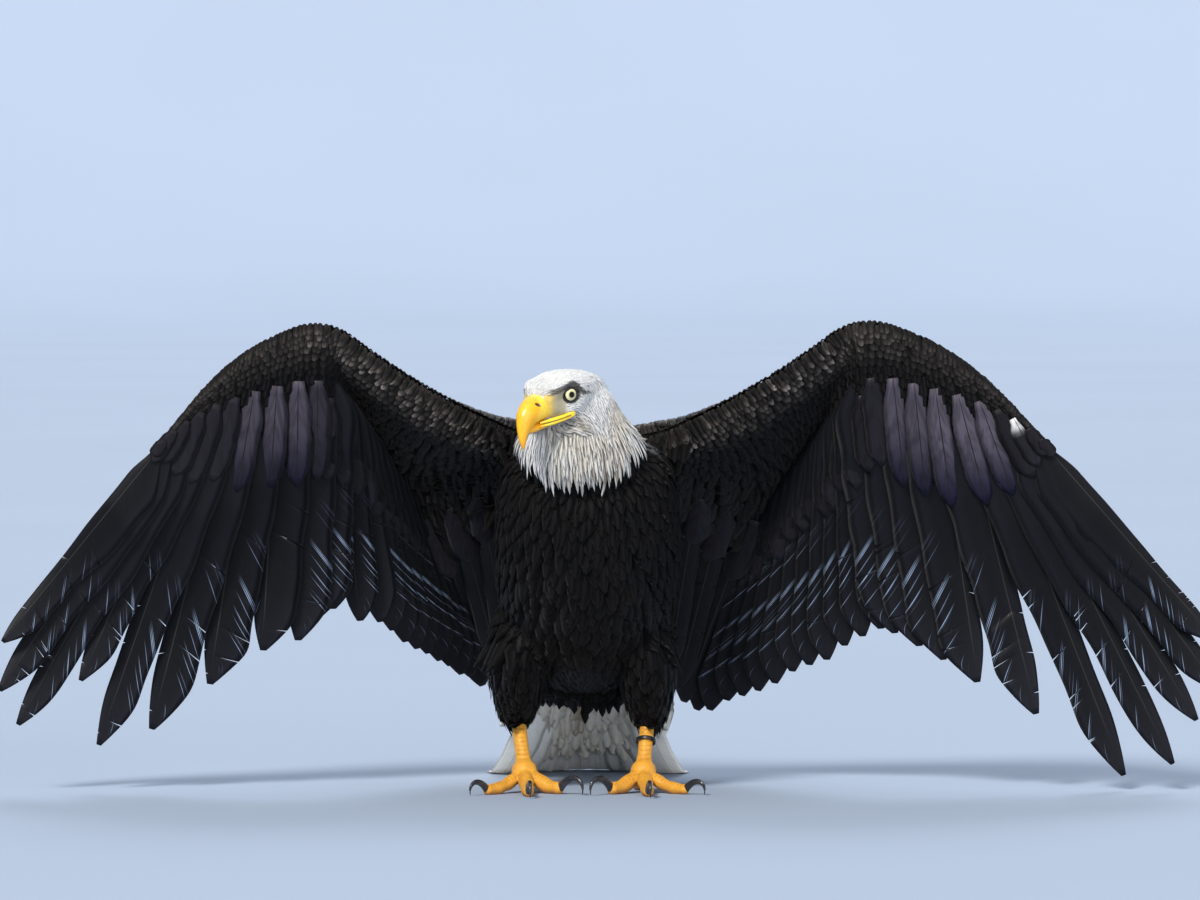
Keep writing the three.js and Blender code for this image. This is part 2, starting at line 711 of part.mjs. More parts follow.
// ---------------------------------------------------------------------------------------------------------
// Legs and feet
// ---------------------------------------------------------------------------------------------------------
function thigh(side, grow = 0) {
  const hip = vec(LEG.hip[side]);
  const ankle = vec(LEG.ankle[side]);
  const rings = THIGH.map(([t, half, deep]) =>
    oval(
      hip.clone().lerp(ankle, t),
      SIDE,
      new THREE.Vector3(0, 1, 0.25).normalize(),
      half + grow,
      deep + grow,
      deep + grow,
      10,
    ),
  );
  return loft(rings);
}

function shankLine(side) {
  const ankle = vec(LEG.ankle[side]);
  const foot = vec(LEG.foot[side]);
  return new THREE.CatmullRomCurve3([ankle, ankle.clone().lerp(foot, 0.5).add(new THREE.Vector3(0, -4, 0)), foot]);
}

/** The bare leg and the pad that the toes spread from. */
function shank(side, grow = 0) {
  const flare = (t) => LEG.shank + 3.2 * THREE.MathUtils.smoothstep(t, 0.7, 1) + grow;
  const foot = LEG.foot[side];
  const pad = new THREE.SphereGeometry(1, 8, 6)
    .scale(LEG.padRadius + grow, LEG.padRadius + grow, 14 + grow)
    .translate(foot[0], foot[1] - 3, foot[2] - 1);
  return taper(shankLine(side), 3, 8, flare).add(solidFrom(pad));
}

/** The way a toe points and how far from the foot's middle it reaches. */
function toeWay(side, spec) {
  const outwards = rad(spec[side]) * (side === "left" ? 1 : -1);
  const way = new THREE.Vector3(Math.sin(outwards), -Math.cos(outwards), 0);
  const root = vec(LEG.foot[side]).add(new THREE.Vector3(0, -3, 0)).addScaledVector(way, 4).setZ(0);
  return { way, root, reach: spec.length + LEG.padRadius - 4 };
}

/** A toe with a pad under each joint; each pad rests on a small flat. */
function toe(side, kind, grow = 0) {
  const spec = TOES[kind];
  const { way, root, reach } = toeWay(side, spec);
  const joints = kind === "hallux" || kind === "inner" ? 2 : 3;
  const across = new THREE.Vector3().crossVectors(way, UP);
  const steps = 5;
  const rings = [];
  for (let i = 0; i <= steps; i++) {
    const t = i / steps;
    const end = 1 - 0.42 * clamp((t - 0.9) / 0.1, 0, 1);
    const r = mix(spec.root, spec.tip, t) * (1 + 0.07 * Math.cos(2 * Math.PI * joints * t)) * end;
    const height = mix(spec.root, spec.tip, t) * 0.98 - 0.6 + TOE_ARCH * clamp(1 - t / 0.7, 0, 1) ** 1.5;
    const middle = root.clone().addScaledVector(way, reach * t).setZ(height);
    rings.push(oval(middle, across, UP, r + grow, r + grow, r + grow, 7));
  }
  return loft(rings);
}

/** A claw: it rises a little from the toe's end and then curves down to a point just over the floor. */
function claw(side, kind) {
  const spec = TOES[kind];
  const { way, root, reach } = toeWay(side, spec);
  const tip = root.addScaledVector(way, reach);
  const at = (forward, up) => tip.clone().addScaledVector(way, forward).setZ(up);
  const chord = spec.claw;
  const curve = new THREE.CubicBezierCurve3(
    at(-3, spec.tip - 0.6),
    at(chord * 0.34, spec.tip + chord * 0.56),
    at(chord * 1.0, spec.tip + chord * 0.4),
    at(chord * 0.86, 1.4),
  );
  const thick = spec.tip * 0.62;
  return taper(curve, 5, 5, (t) => Math.max(0.6, thick * (1 - t) ** 0.62), 1.15);
}

/** The dark ring on the left leg. */
function band() {
  const inner = LEG.shank + GAP + 0.6;
  const outer = inner + BAND.wall;
  const half = BAND.height / 2;
  const profile = [
    [inner, -half],
    [outer, -half * 0.8],
    [outer, half * 0.8],
    [inner, half],
    [inner, -half],
  ].map(([x, y]) => new THREE.Vector2(x, y));
  const ring = new THREE.LatheGeometry(profile, 12);
  const line = shankLine("left");
  const t = 1 - BAND.up / line.getLength();
  const axis = line.getTangentAt(t).negate();
  const turn = new THREE.Quaternion().setFromUnitVectors(new THREE.Vector3(0, 1, 0), axis);
  const centre = line.getPointAt(t);
  return solidFrom(ring.applyQuaternion(turn).translate(centre.x, centre.y, centre.z));
}

// ---------------------------------------------------------------------------------------------------------
// The pieces, each kept clear of its neighbours
// ---------------------------------------------------------------------------------------------------------
const pieces = new Map(); // name -> [solid, colour, roughness]
const put = (name, solid, colour, roughness = 0.8) => pieces.set(name, [largest(solid), colour, roughness]);
const wingBlock = (wing, grow = 0) => coveredWing(wing, 11, grow);

const upper = upperBill();
const lower = lowerBill().subtract(upperBill(GAP));
let headAndNeck = cranium().add(neck());
for (const s of [1, -1]) headAndNeck = headAndNeck.subtract(orbit(s)).subtract(eye(s, GAP));
headAndNeck = headAndNeck.subtract(upperBill(GAP)).subtract(lowerBill(GAP));
headAndNeck = headAndNeck.subtract(slab([-30, -110, 441], [-0.12, -0.5, 0.85], 170, 190));
const [headPiece, neckPiece] = headAndNeck
  .decompose()
  .filter((p) => p.volume() > 1e4)
  .sort((a, b) => b.boundingBox().max[2] - a.boundingBox().max[2]);
let neckClear = neckPiece.subtract(trunk(GAP));
for (const wing of Object.values(WINGS)) neckClear = neckClear.subtract(wingBlock(wing, GAP));

put("head", headPiece, COLOUR.white);
put("neck", neckClear, COLOUR.white);
put("trunk", trunk(), COLOUR.dark);
put("bill_upper", upper, COLOUR.bill, 0.4);
put("bill_lower", lower, COLOUR.bill, 0.4);
put("eye_left", eye(1), COLOUR.iris, 0.1);
put("eye_right", eye(-1), COLOUR.iris, 0.1);
put("tail_coverts", tailCoverts().subtract(trunk(GAP)), COLOUR.white);
put("tail", tail().subtract(tailCoverts(GAP)).subtract(trunk(GAP)), COLOUR.white);

for (const [side, wing] of Object.entries(WINGS)) {
  const wristCut = slab(wingMiddle(wing, -0.06), wingAcross(wing, -0.06), 460, 120);
  const parted = wingBlock(wing).subtract(trunk(GAP)).subtract(wristCut);
  const [arm, hand] = parted
    .decompose()
    .filter((p) => p.volume() > 1e4)
    .sort((a, b) => Math.abs(a.boundingBox().max[0] + a.boundingBox().min[0]) - Math.abs(b.boundingBox().max[0] + b.boundingBox().min[0]));
  put("wing_arm_" + side, arm, COLOUR.dark);
  put("wing_hand_" + side, hand, COLOUR.dark);
  const block = wingBlock(wing, GAP).add(trunk(GAP));
  const border = slab(wingMiddle(wing, -0.01), wingAcross(wing, -0.01), 1400, 1400);
  const outer = primaries(wing).subtract(block).subtract(border);
  const inner = secondaries(wing).subtract(block).subtract(border).subtract(thigh(side, GAP));
  put("primaries_" + side, outer, COLOUR.flight, 0.55);
  put("secondaries_" + side, inner, COLOUR.flight, 0.55);

  put("thigh_" + side, thigh(side).subtract(trunk(GAP)).subtract(shank(side, GAP)), COLOUR.dark);
  const toes = Object.keys(TOES);
  toes.forEach((kind, i) => {
    let own = standOn(toe(side, kind)).subtract(shank(side, GAP));
    for (const other of toes.slice(0, i)) own = own.subtract(toe(side, other, GAP));
    put("toe_" + kind + "_" + side, own, COLOUR.foot, 0.5);
    put("claw_" + kind + "_" + side, claw(side, kind).subtract(toe(side, kind, GAP)), COLOUR.claw, 0.25);
  });
  put("shank_" + side, shank(side), COLOUR.foot, 0.5);
}
put("leg_band", band(), COLOUR.band, 0.4);

const group = new THREE.Group();
const box = new THREE.Box3();
for (const [name, [solid, colour, roughness]] of pieces) {
  const { numProp, vertProperties, triVerts } = solid.getMesh();
  const positions = new Float32Array((vertProperties.length / numProp) * 3);
  for (let i = 0; i < positions.length / 3; i++) {
    positions.set(vertProperties.subarray(i * numProp, i * numProp + 3), i * 3);
  }
  const geometry = new THREE.BufferGeometry();
  geometry.setAttribute("position", new THREE.BufferAttribute(positions, 3));
  geometry.setIndex(new THREE.BufferAttribute(triVerts, 1));
  geometry.computeVertexNormals();
  const mesh = new THREE.Mesh(geometry, new THREE.MeshStandardMaterial({ color: colour, roughness, metalness: 0 }));
  mesh.name = name;
  group.add(mesh);
  box.expandByObject(mesh);
}
const centre = box.getCenter(new THREE.Vector3());
for (const mesh of group.children) mesh.geometry.translate(-centre.x, -centre.y, -box.min.z);

export default group;
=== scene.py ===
"""A bald eagle, life size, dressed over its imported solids: one skin, a coat of solid feathers, and the
quills, bill, eyes, feet and leg ring as pieces of their own.

The shapes are worked out in the bird's own frame, in millimetres: the bird faces -Y, its left side is +X
and up is +Z. Every mesh goes into the row frame, in metres, when it is made.
"""
import math

import bmesh
import bpy
import numpy as np
from bpy.props import FloatProperty, FloatVectorProperty, PointerProperty
from mathutils import Matrix, Vector, noise
from mathutils.bvhtree import BVHTree


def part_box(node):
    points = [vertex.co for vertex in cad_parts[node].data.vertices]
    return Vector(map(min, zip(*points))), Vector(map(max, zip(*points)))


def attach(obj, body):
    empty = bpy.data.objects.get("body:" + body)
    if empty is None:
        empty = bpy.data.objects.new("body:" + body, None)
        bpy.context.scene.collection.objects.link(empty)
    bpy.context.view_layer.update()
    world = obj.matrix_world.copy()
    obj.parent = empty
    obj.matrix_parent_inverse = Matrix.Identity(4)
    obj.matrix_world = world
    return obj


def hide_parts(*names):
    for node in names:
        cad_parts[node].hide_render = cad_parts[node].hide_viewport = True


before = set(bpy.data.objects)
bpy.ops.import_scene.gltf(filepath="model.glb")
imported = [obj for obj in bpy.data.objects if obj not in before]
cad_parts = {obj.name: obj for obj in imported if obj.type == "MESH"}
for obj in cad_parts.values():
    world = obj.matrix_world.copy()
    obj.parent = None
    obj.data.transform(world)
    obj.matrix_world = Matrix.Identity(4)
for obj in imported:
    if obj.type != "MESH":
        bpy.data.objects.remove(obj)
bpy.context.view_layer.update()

bl_info = {
    "name": "Bald Eagle",
    "version": (1, 0, 0),
    "blender": (4, 5, 0),
    "location": "View3D > Sidebar > Eagle",
    "description": "Skin, feathers, bill, eyes and feet of a standing bald eagle with its wings half open",
    "category": "Object",
}

rng = np.random.default_rng(11)

# ---------------------------------------------------------------------------------------------------------
# Sizes of the bird, the same as its solids have (millimetres)
# ---------------------------------------------------------------------------------------------------------
HEAD_MIDDLE = (-40, -137, 462.5)
HEAD_TURN = 38
HEAD_NOD = 11
EYE_SIDE = 19.5

# [forward, up, half depth, half width]
UPPER_BILL = [
    [20, -8, 13.5, 14.5],
    [28.6, -8.5, 14.5, 15],
    [41, -10.5, 14.8, 13.3],
    [51, -16, 12.8, 11],
    [57.5, -25, 9.6, 8.2],
    [61.5, -34.5, 6, 5.6],
    [63, -43.5, 3.6, 3.4],
    [62.6, -50.5, 0.9, 0.9],
]
LOWER_BILL = [[6, -26, 5, 11], [22, -27.5, 5.8, 11.5], [37, -29.5, 5.4, 9], [49, -31, 4, 6.2], [58, -31.6, 1.2, 2]]
GAPE = (-3, 27, -22)
MOUTH = (40, 9.5, -27)

# [y, z, half width, depth to the back, depth to the belly]
TRUNK = [
    [-72, 396, 70, 34, 40],
    [-58, 378, 98, 62, 68],
    [-32, 332, 110, 86, 92],
    [6, 268, 111, 92, 106],
    [44, 212, 105, 84, 102],
    [80, 164, 84, 62, 72],
    [108, 134, 58, 38, 40],
    [120, 122, 34, 20, 22],
]
# [x, y, z, half width, depth to the nape, depth to the throat]
NECK = [
    [4, -36, 368, 60, 50, 50],
    [0, -60, 384, 74, 54, 64],
    [-9, -84, 400, 75, 54, 62],
    [-11, -98, 420, 64, 52, 56],
    [-14, -106, 440, 55, 48, 48],
    [-18, -112, 460, 47, 42, 36],
    [-24, -116, 474, 32, 26, 24],
]
# [forward, half width, up to the crown, down to the chin]
CRANIUM = [
    [-72, 14, 2, 12],
    [-64, 26, 10, 24],
    [-48, 34, 19, 34],
    [-28, 37, 24, 38],
    [-8, 36, 26, 36],
    [10, 31, 23.5, 32],
    [22, 25, 16.5, 28],
    [30, 17, 9, 24],
    [34, 10, 3, 20],
]
WINGS = {
    "left": dict(
        side=1,
        shoulder=(86, -22, 414),
        elbow=(228, 98, 348),
        wrist=(309, -62, 550),
        hand_end=(503, -46, 424),
        fan_primaries=(6, 41.4, 0.2),
        primaries=(345, 358, 366, 384, 418, 498, 486, 430, 392, 318),
        fan_secondaries=(6, -22),
        secondaries=(334, 300),
    ),
    "right": dict(
        side=-1,
        shoulder=(-86, -22, 416),
        elbow=(-222, 98, 350),
        wrist=(-300, -62, 547),
        hand_end=(-470, -46, 423),
        fan_primaries=(1, 39.2, 0),
        primaries=(322, 346, 350, 384, 434, 451, 368, 424, 378, 307),
        fan_secondaries=(-5, -23),
        secondaries=(310, 268),
    ),
}
FAN = 46
ARM_SAG = 9
HAND_BULGE = 21
WRIST_ROUND = 0.16
BONE_DEPTH = 20
PRIMARIES = 10
SECONDARIES = 16
TERTIALS = 4
ELBOW_AT = 0.66
BACK_SLOPE = dict(hand_end=0.02, wrist=0.33, elbow=0.56, shoulder=0.7)
COVER = dict(hand_end=34, wrist=158, elbow=148, shoulder=96)
QUILL = dict(lead=14, trail=30, slim=0.74, bow=13)
CHORD_STOPS = (0, 0.035, 0.12, 0.3, 0.55, 0.8, 1)
CHORD_SHAPE = (0.12, 0.62, 1, 0.86, 0.5, 0.24, 0.12)

TAIL = dict(feathers=12, base=(0, 96, 116), length=290, spread=14, base_half=52, vane=21, settle=0.86)
# [y, z, half width, up, down]
TAIL_COVERTS = [[92, 132, 60, 34, 38], [122, 116, 98, 28, 32], [152, 96, 106, 19, 24], [184, 77, 99, 10, 15],
                [214, 61, 84, 3, 5]]
HIP = {"left": (64, 26, 196), "right": (-76, 26, 196)}
ANKLE = {"left": (70, 42, 92), "right": (-82, 42, 94)}
FOOT = {"left": (64, 2, 25), "right": (-73, 2, 25)}
SHANK = 8.6
PAD = 15
# [share of the way from hip to ankle, half width, half depth]
THIGH = [[-0.2, 26, 36], [0.1, 40, 58], [0.45, 41, 60], [0.75, 36, 48], [1.0, 28, 35], [1.22, 19, 23]]
# degrees outwards on the left and right foot, length, root and tip radius, claw's chord
TOES = {
    "inner": (-44, -50, 42, 10.5, 7.2, 35),
    "middle": (4, -4, 66, 9.6, 6.6, 31),
    "outer": (52, 44, 50, 8.6, 6.2, 27),
    "hallux": (188, 186, 38, 10.5, 7.4, 37),
}
TOE_ARCH = 14
BAND = dict(height=4.5, wall=1.8, up=38)

SIDES = (("left", 1), ("right", -1))
UP = np.array((0.0, 0.0, 1.0))
FRONT = np.array((0.0, -1.0, 0.0))
ACROSS = np.array((1.0, 0.0, 0.0))


# ---------------------------------------------------------------------------------------------------------
# Small helpers
# ---------------------------------------------------------------------------------------------------------
def vec(p):
    return np.array(p, float)


def unit(v):
    v = np.asarray(v, float)
    return v / np.maximum(np.linalg.norm(v, axis=-1, keepdims=True), 1e-9)


def mix(a, b, t):
    return a + (b - a) * t


def smooth(x, low, high):
    t = np.clip((x - low) / (high - low), 0.0, 1.0)
    return t * t * (3 - 2 * t)


def smooth_row(rows, at):
    """The columns of a table at row number at, on a smooth curve through its rows."""
    rows = np.asarray(rows, float)
    last = len(rows) - 1
    k = int(np.clip(math.floor(at), 0, last - 1))
    t = min(max(at - k, 0.0), 1.0)
    p, a, b, n = (rows[int(np.clip(i, 0, last))] for i in (k - 1, k, k + 1, k + 2))
    start, stop = (b - p) / 2, (n - a) / 2
    return (2 * t**3 - 3 * t**2 + 1) * a + (t**3 - 2 * t**2 + t) * start + (3 * t**2 - 2 * t**3) * b + (
        t**3 - t**2) * stop


def bezier(points, t):
    """A quadratic or cubic curve's point at t."""
    p = [vec(q) for q in points]
    while len(p) > 1:
        p = [mix(a, b, t) for a, b in zip(p, p[1:])]
    return p[0]


def oval(centre, right, up, half, above, below, sides, square=1.0, square_low=None):
    """A ring of points round centre; heights above and below it may differ, and so may its squareness."""
    a = np.arange(sides) * (2 * math.pi / sides)
    c, s = np.cos(a), np.sin(a)
    low = square if square_low is None else square_low
    over = np.where(s > 0, above * np.abs(s) ** square, -below * np.abs(s) ** low)
    side = np.sign(c) * np.abs(c) ** square
    return vec(centre) + np.outer(half * side, right) + np.outer(over, up)


def loft(rings):
    """Points and faces of a closed tube through rings of equally many points."""
    n = len(rings[0])
    points = np.concatenate(rings)
    faces = []
    for r in range(len(rings) - 1):
        for k in range(n):
            a, b = r * n + k, r * n + (k + 1) % n
            faces.append((a, b, b + n, a + n))
    faces.append(tuple(range(n))[::-1])
    faces.append(tuple(range(len(points) - n, len(points))))
    return points, faces


def taper(at, steps, sides, radius, flat=1.0):
    """A tube along the curve at(t), whose radius is a function of t."""
    rings = []
    for i in range(steps + 1):
        t = i / steps
        way = unit(at(min(t + 0.01, 1)) - at(max(t - 0.01, 0)))
        right = unit(np.cross(way, UP)) if abs(way[2]) < 0.999 else ACROSS
        over = unit(np.cross(right, way))
        r = radius(t)
        rings.append(oval(at(t), right, over, r, r * flat, r * flat, sides))
    return loft(rings)


def joined(parts):
    """Several point and face lists as one."""
    points, faces, start = [], [], 0
    for p, f in parts:
        points.append(p)
        faces += [tuple(i + start for i in face) for face in f]
        start += len(p)
    return np.concatenate(points), faces


# ---------------------------------------------------------------------------------------------------------
# The head's own axes, and where the bird's frame lies in the row frame
# ---------------------------------------------------------------------------------------------------------
def head_axes():
    turn, nod = math.radians(HEAD_TURN), math.radians(HEAD_NOD)
    level = np.array((-math.sin(turn), -math.cos(turn), 0))
    left = np.array((math.cos(turn), -math.sin(turn), 0))
    return level * math.cos(nod) - UP * math.sin(nod), left, level * math.sin(nod) + UP * math.cos(nod)


FORWARD, LEFT, CROWN = head_axes()
HEAD_FRAME = np.array((FORWARD, LEFT, CROWN))


def head_point(forward, left, up):
    return vec(HEAD_MIDDLE) + FORWARD * forward + LEFT * left + CROWN * up


def head_place(points):
    """Forward, left and up of points, in the head's own axes."""
    return (points - vec(HEAD_MIDDLE)) @ HEAD_FRAME.T


_low, _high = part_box("eye_left")
SHIFT = head_point(0, EYE_SIDE, 0) - 1000 * (vec(_low) + vec(_high)) / 2


def to_row(points):
    return (np.asarray(points, float) - SHIFT) / 1000


# ---------------------------------------------------------------------------------------------------------
# Meshes
# ---------------------------------------------------------------------------------------------------------
def deselect():
    for o in bpy.context.selected_objects:
        o.select_set(False)


def choose(o):
    """Makes o the one selected and active object."""
    deselect()
    o.select_set(True)
    bpy.context.view_layer.objects.active = o


def new_object(name, mesh):
    o = bpy.data.objects.new(name, mesh)
    bpy.context.scene.collection.objects.link(o)
    return o


def mesh_piece(name, points, faces):
    """A new object from points in the bird's frame and a list of faces, turned to face out."""
    me = bpy.data.meshes.new(name)
    me.from_pydata(to_row(points).tolist(), [], [tuple(int(i) for i in f) for f in faces])
    me.validate()
    bm = bmesh.new()
    bm.from_mesh(me)
    bmesh.ops.recalc_face_normals(bm, faces=bm.faces)
    bm.to_mesh(me)
    bm.free()
    me.shade_smooth()
    return new_object(name, me)


def paint(o, colours):
    """Gives each point of a piece its own colour, which its material reads."""
    layer = o.data.color_attributes.new("shade", "FLOAT_COLOR", "POINT")
    rgba = np.ones((len(o.data.vertices), 4), np.float32)
    rgba[:, :3] = colours
    layer.data.foreach_set("color", rgba.ravel())


def bird_points(o):
    co = np.empty(len(o.data.vertices) * 3, np.float32)
    o.data.vertices.foreach_get("co", co)
    return co.reshape(-1, 3).astype(float) * 1000 + SHIFT


def set_bird_points(o, points):
    o.data.vertices.foreach_set("co", to_row(points).astype(np.float32).ravel())
    o.data.update()


def apply(o, kind, **options):
    """Adds a modifier and applies it."""
    choose(o)
    m = o.modifiers.new(kind.lower(), kind)
    for key, value in options.items():
        setattr(m, key, value)
    bpy.ops.object.modifier_apply(modifier=m.name)


def finish_piece(o, material, slot, *nodes):
    """Gives a piece its material and body, and hides the solids of the nodes that it stands for. Its slot is not used.
    """
    if not o.data.polygons:
        raise RuntimeError(o.name + " has no faces")
    o.data.materials.clear()
    o.data.materials.append(material)
    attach(o, "root")
    if nodes:
        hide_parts(*nodes)
    return o


class Plumage:
    """Feathers gathered into one mesh. Each is a closed vane, thickest along its shaft."""

    def __init__(self):
        self.points, self.quads, self.ends = [], [], []
        self.vane, self.place, self.shade = [], [], []
        self.count = 0

    def add(self, spine, out, left, right, thick, cup, colour, root_place, patch=0.003, columns=3, sweep=0.0):
        """spine and out are (feather, row, 3); left and right are half widths (feather, row); colour is
        (feather, row, column, 3); root_place is (feather, 2), the root's place on the skin's unwrap."""
        n, rows = spine.shape[:2]
        along = unit(np.gradient(spine, axis=1))
        side = unit(np.cross(along, out))
        across = np.linspace(-1, 1, columns)
        wide = np.where(across[None, None] < 0, left[..., None], right[..., None]) * across
        drop = cup[:, None, None] * np.abs(wide) ** 1.6 / np.maximum(left.max(axis=1), 1)[:, None, None] ** 0.6
        half = 0.5 * thick[..., None] * (1 - np.abs(across) ** 1.5)
        shift = np.broadcast_to(sweep, (rows,))[None, :, None] * np.abs(wide)
        middle = (spine[:, :, None] + side[:, :, None] * wide[..., None] - out[:, :, None] * drop[..., None]
                  + along[:, :, None] * shift[..., None])
        top = middle + out[:, :, None] * half[..., None]
        low = (middle - out[:, :, None] * half[..., None])[:, :, -2:0:-1]
        ring = np.concatenate((top, low), axis=2)
        size = ring.shape[2]
        start = self.count + (np.arange(n) * rows * size)[:, None, None]
        r, k = np.meshgrid(np.arange(rows - 1), np.arange(size), indexing="ij")
        a, b = r * size + k, r * size + (k + 1) % size
        quads = np.stack((a, b, b + size, a + size), axis=-1).reshape(1, -1, 4)
        self.quads.append((start + quads[:, :, ::-1]).reshape(-1, 4))
        for row, turn in ((0, 1), (rows - 1, -1)):
            cap = np.arange(size)[::turn] + row * size
            self.ends.append((self.count + (np.arange(n) * rows * size)[:, None] + cap[None]).reshape(-1, size))
        self.points.append(ring.reshape(-1, 3))
        v = np.linspace(0, 1, rows)
        u_ring = np.concatenate((across, across[-2:0:-1])) * 0.5 + 0.5
        vane = np.stack(np.broadcast_arrays(u_ring[None, None], v[None, :, None], ), axis=-1)
        vane = np.broadcast_to(vane, (n, rows, size, 2))
        self.vane.append(vane.reshape(-1, 2))
        place = root_place[:, None, None] + patch * (vane - 0.5)
        self.place.append(place.reshape(-1, 2))
        colours = np.concatenate((colour, colour[:, :, -2:0:-1]), axis=2)
        self.shade.append(colours.reshape(-1, 3))
        self.count += n * rows * size

    def make(self, name):
        points = to_row(np.concatenate(self.points)).astype(np.float32)
        groups = [np.concatenate(self.quads)] + self.ends
        loops = np.concatenate([g.ravel() for g in groups]).astype(np.int32)
        sizes = np.concatenate([np.full(len(g), g.shape[1]) for g in groups])
        starts = np.concatenate(([0], np.cumsum(sizes)[:-1])).astype(np.int32)
        me = bpy.data.meshes.new(name)
        me.vertices.add(len(points))
        me.vertices.foreach_set("co", points.ravel())
        me.loops.add(len(loops))
        me.loops.foreach_set("vertex_index", loops)
        me.polygons.add(len(starts))
        me.polygons.foreach_set("loop_start", starts)
        me.update(calc_edges=True)
        for label, data in (("OFBake", self.place), ("vane", self.vane)):
            layer = me.uv_layers.new(name=label)
            layer.data.foreach_set("uv", np.concatenate(data)[loops].astype(np.float32).ravel())
        me.shade_smooth()
        o = new_object(name, me)
        paint(o, np.concatenate(self.shade))
        return o


# ---------------------------------------------------------------------------------------------------------
# Wings
# ---------------------------------------------------------------------------------------------------------
def leading_edge(wing, u):
    """A point of the leading edge: u is 0 at the shoulder, 1 at the wrist and 2 at the hand's end."""
    shoulder, wrist, hand = vec(wing["shoulder"]), vec(wing["wrist"]), vec(wing["hand_end"])

    def edge(t):
        a, b, way, bow = (shoulder, wrist, t, -ARM_SAG) if t < 1 else (wrist, hand, t - 1, HAND_BULGE)
        out = unit(np.cross(unit(b - a), FRONT) * -wing["side"])
        if out[2] < 0:
            out = -out
        return mix(a, b, way) + out * bow * math.sin(math.pi * way)

    if abs(u - 1) >= WRIST_ROUND:
        return edge(u)
    return bezier((edge(1 - WRIST_ROUND), edge(1), edge(1 + WRIST_ROUND)), (u - 1 + WRIST_ROUND) / (2 * WRIST_ROUND))


def lie_of_wing(wing, s):
    """Degrees outwards from straight down, slope backwards and the coverts' length past the bone. s is -1 at the
    hand's end, 0 at the wrist and 1 at the shoulder."""
    inner, outer, opens = wing["fan_primaries"]
    first, last = wing["fan_secondaries"]
    if s < 0:
        open_ = float(smooth(-s, opens, opens + 0.4))
        return (mix(inner - 4 * s, outer - FAN * (1 + s), open_), mix(BACK_SLOPE["wrist"], BACK_SLOPE["hand_end"], -s),
                mix(COVER["wrist"], COVER["hand_end"], (-s) ** 1.6))
    if s < ELBOW_AT:
        t = s / ELBOW_AT
        return (mix(mix(inner, first, min(t * 6, 1)), last, t), mix(BACK_SLOPE["wrist"], BACK_SLOPE["elbow"], t),
                mix(COVER["wrist"], COVER["elbow"], t))
    t = (s - ELBOW_AT) / (1 - ELBOW_AT)
    return mix(last, -2, t), mix(BACK_SLOPE["elbow"], BACK_SLOPE["shoulder"], t), mix(COVER["elbow"], COVER["shoulder"], t)


def fall_of_feathers(wing, s):
    angle, slope, _ = lie_of_wing(wing, s)
    return np.array((wing["side"] * math.sin(math.radians(angle)), slope, -math.cos(math.radians(angle))))


def bone_line(wing, s):
    """Where the quills grow: hand, forearm and upper arm."""
    if s < 0:
        return leading_edge(wing, 1 - s) + unit(fall_of_feathers(wing, s)) * mix(BONE_DEPTH, 12, -s)
    wrist = leading_edge(wing, 1) + unit(fall_of_feathers(wing, 0)) * BONE_DEPTH
    elbow = vec(wing["elbow"])
    if s < ELBOW_AT:
        return mix(wrist, elbow, s / ELBOW_AT)
    return mix(elbow, vec(wing["shoulder"]) + (0, 44, -26), (s - ELBOW_AT) / (1 - ELBOW_AT))


def underside(along):
    """The way the wing's underside faces."""
    return unit(FRONT - along * FRONT[1] * along[1])


class WingSheet:
    """The covered wing's middle surface: points, the way its underside faces and its half thickness, over s and
    the distance from the leading edge."""

    S = np.linspace(-1, 1.14, 108)
    Q = np.linspace(0, 1.5, 61)

    def __init__(self, wing):
        self.wing = wing
        self.middle = np.empty((len(self.S), len(self.Q), 3))
        self.face = np.empty_like(self.middle)
        self.half = np.empty(self.middle.shape[:2])
        self.total = np.empty(len(self.S))
        for i, s in enumerate(self.S):
            inside = max(s - 1, 0) / 0.14
            s = min(s, 1)
            lead, bone = leading_edge(wing, 1 - s), bone_line(wing, s)
            along = unit(fall_of_feathers(wing, s))
            end = bone + along * lie_of_wing(wing, s)[2]
            fine = np.linspace(0, 2, 41)
            curve = np.array([smooth_row((lead, bone, end), t) for t in fine])
            curve += np.array((-wing["side"] * 50, 0, -10)) * inside
            steps = np.linalg.norm(np.diff(curve, axis=0), axis=1)
            way = np.concatenate(([0], np.cumsum(steps)))
            self.total[i] = way[-1]
            for j, q in enumerate(self.Q):
                d = q * way[-1]
                if q <= 1:
                    p = np.array([np.interp(d, way, curve[:, c]) for c in range(3)])
                    near = [np.interp(np.clip(d + e, 0, way[-1]), way, curve[:, c]) for e in (-4, 4) for c in range(3)]
                    tangent = unit(np.array(near[3:]) - np.array(near[:3]))
                else:
                    tangent = along
                    p = curve[-1] + along * (d - way[-1])
                thick = mix(13, 7, -s) if s < 0 else mix(14, 24, min(1, s * 1.3))
                self.middle[i, j] = p
                self.face[i, j] = underside(tangent)
                self.half[i, j] = thick * np.interp(q, CHORD_STOPS, CHORD_SHAPE)

    def at(self, s, d):
        """Middle point, face and half thickness for arrays of s and distance from the leading edge."""
        i = np.clip((s - self.S[0]) / (self.S[1] - self.S[0]), 0, len(self.S) - 1.001)
        total = np.interp(s, self.S, self.total)
        j = np.clip(d / total / (self.Q[1] - self.Q[0]), 0, len(self.Q) - 1.001)
        i0, j0 = i.astype(int), j.astype(int)
        fi, fj = i - i0, j - j0
        result = []
        for grid in (self.middle, self.face, self.half[..., None]):
            a = grid[i0, j0] * (1 - fj)[..., None] + grid[i0, j0 + 1] * fj[..., None]
            b = grid[i0 + 1, j0] * (1 - fj)[..., None] + grid[i0 + 1, j0 + 1] * fj[..., None]
            result.append(a * (1 - fi)[..., None] + b * fi[..., None])
        return result[0], unit(result[1]), result[2][..., 0], total


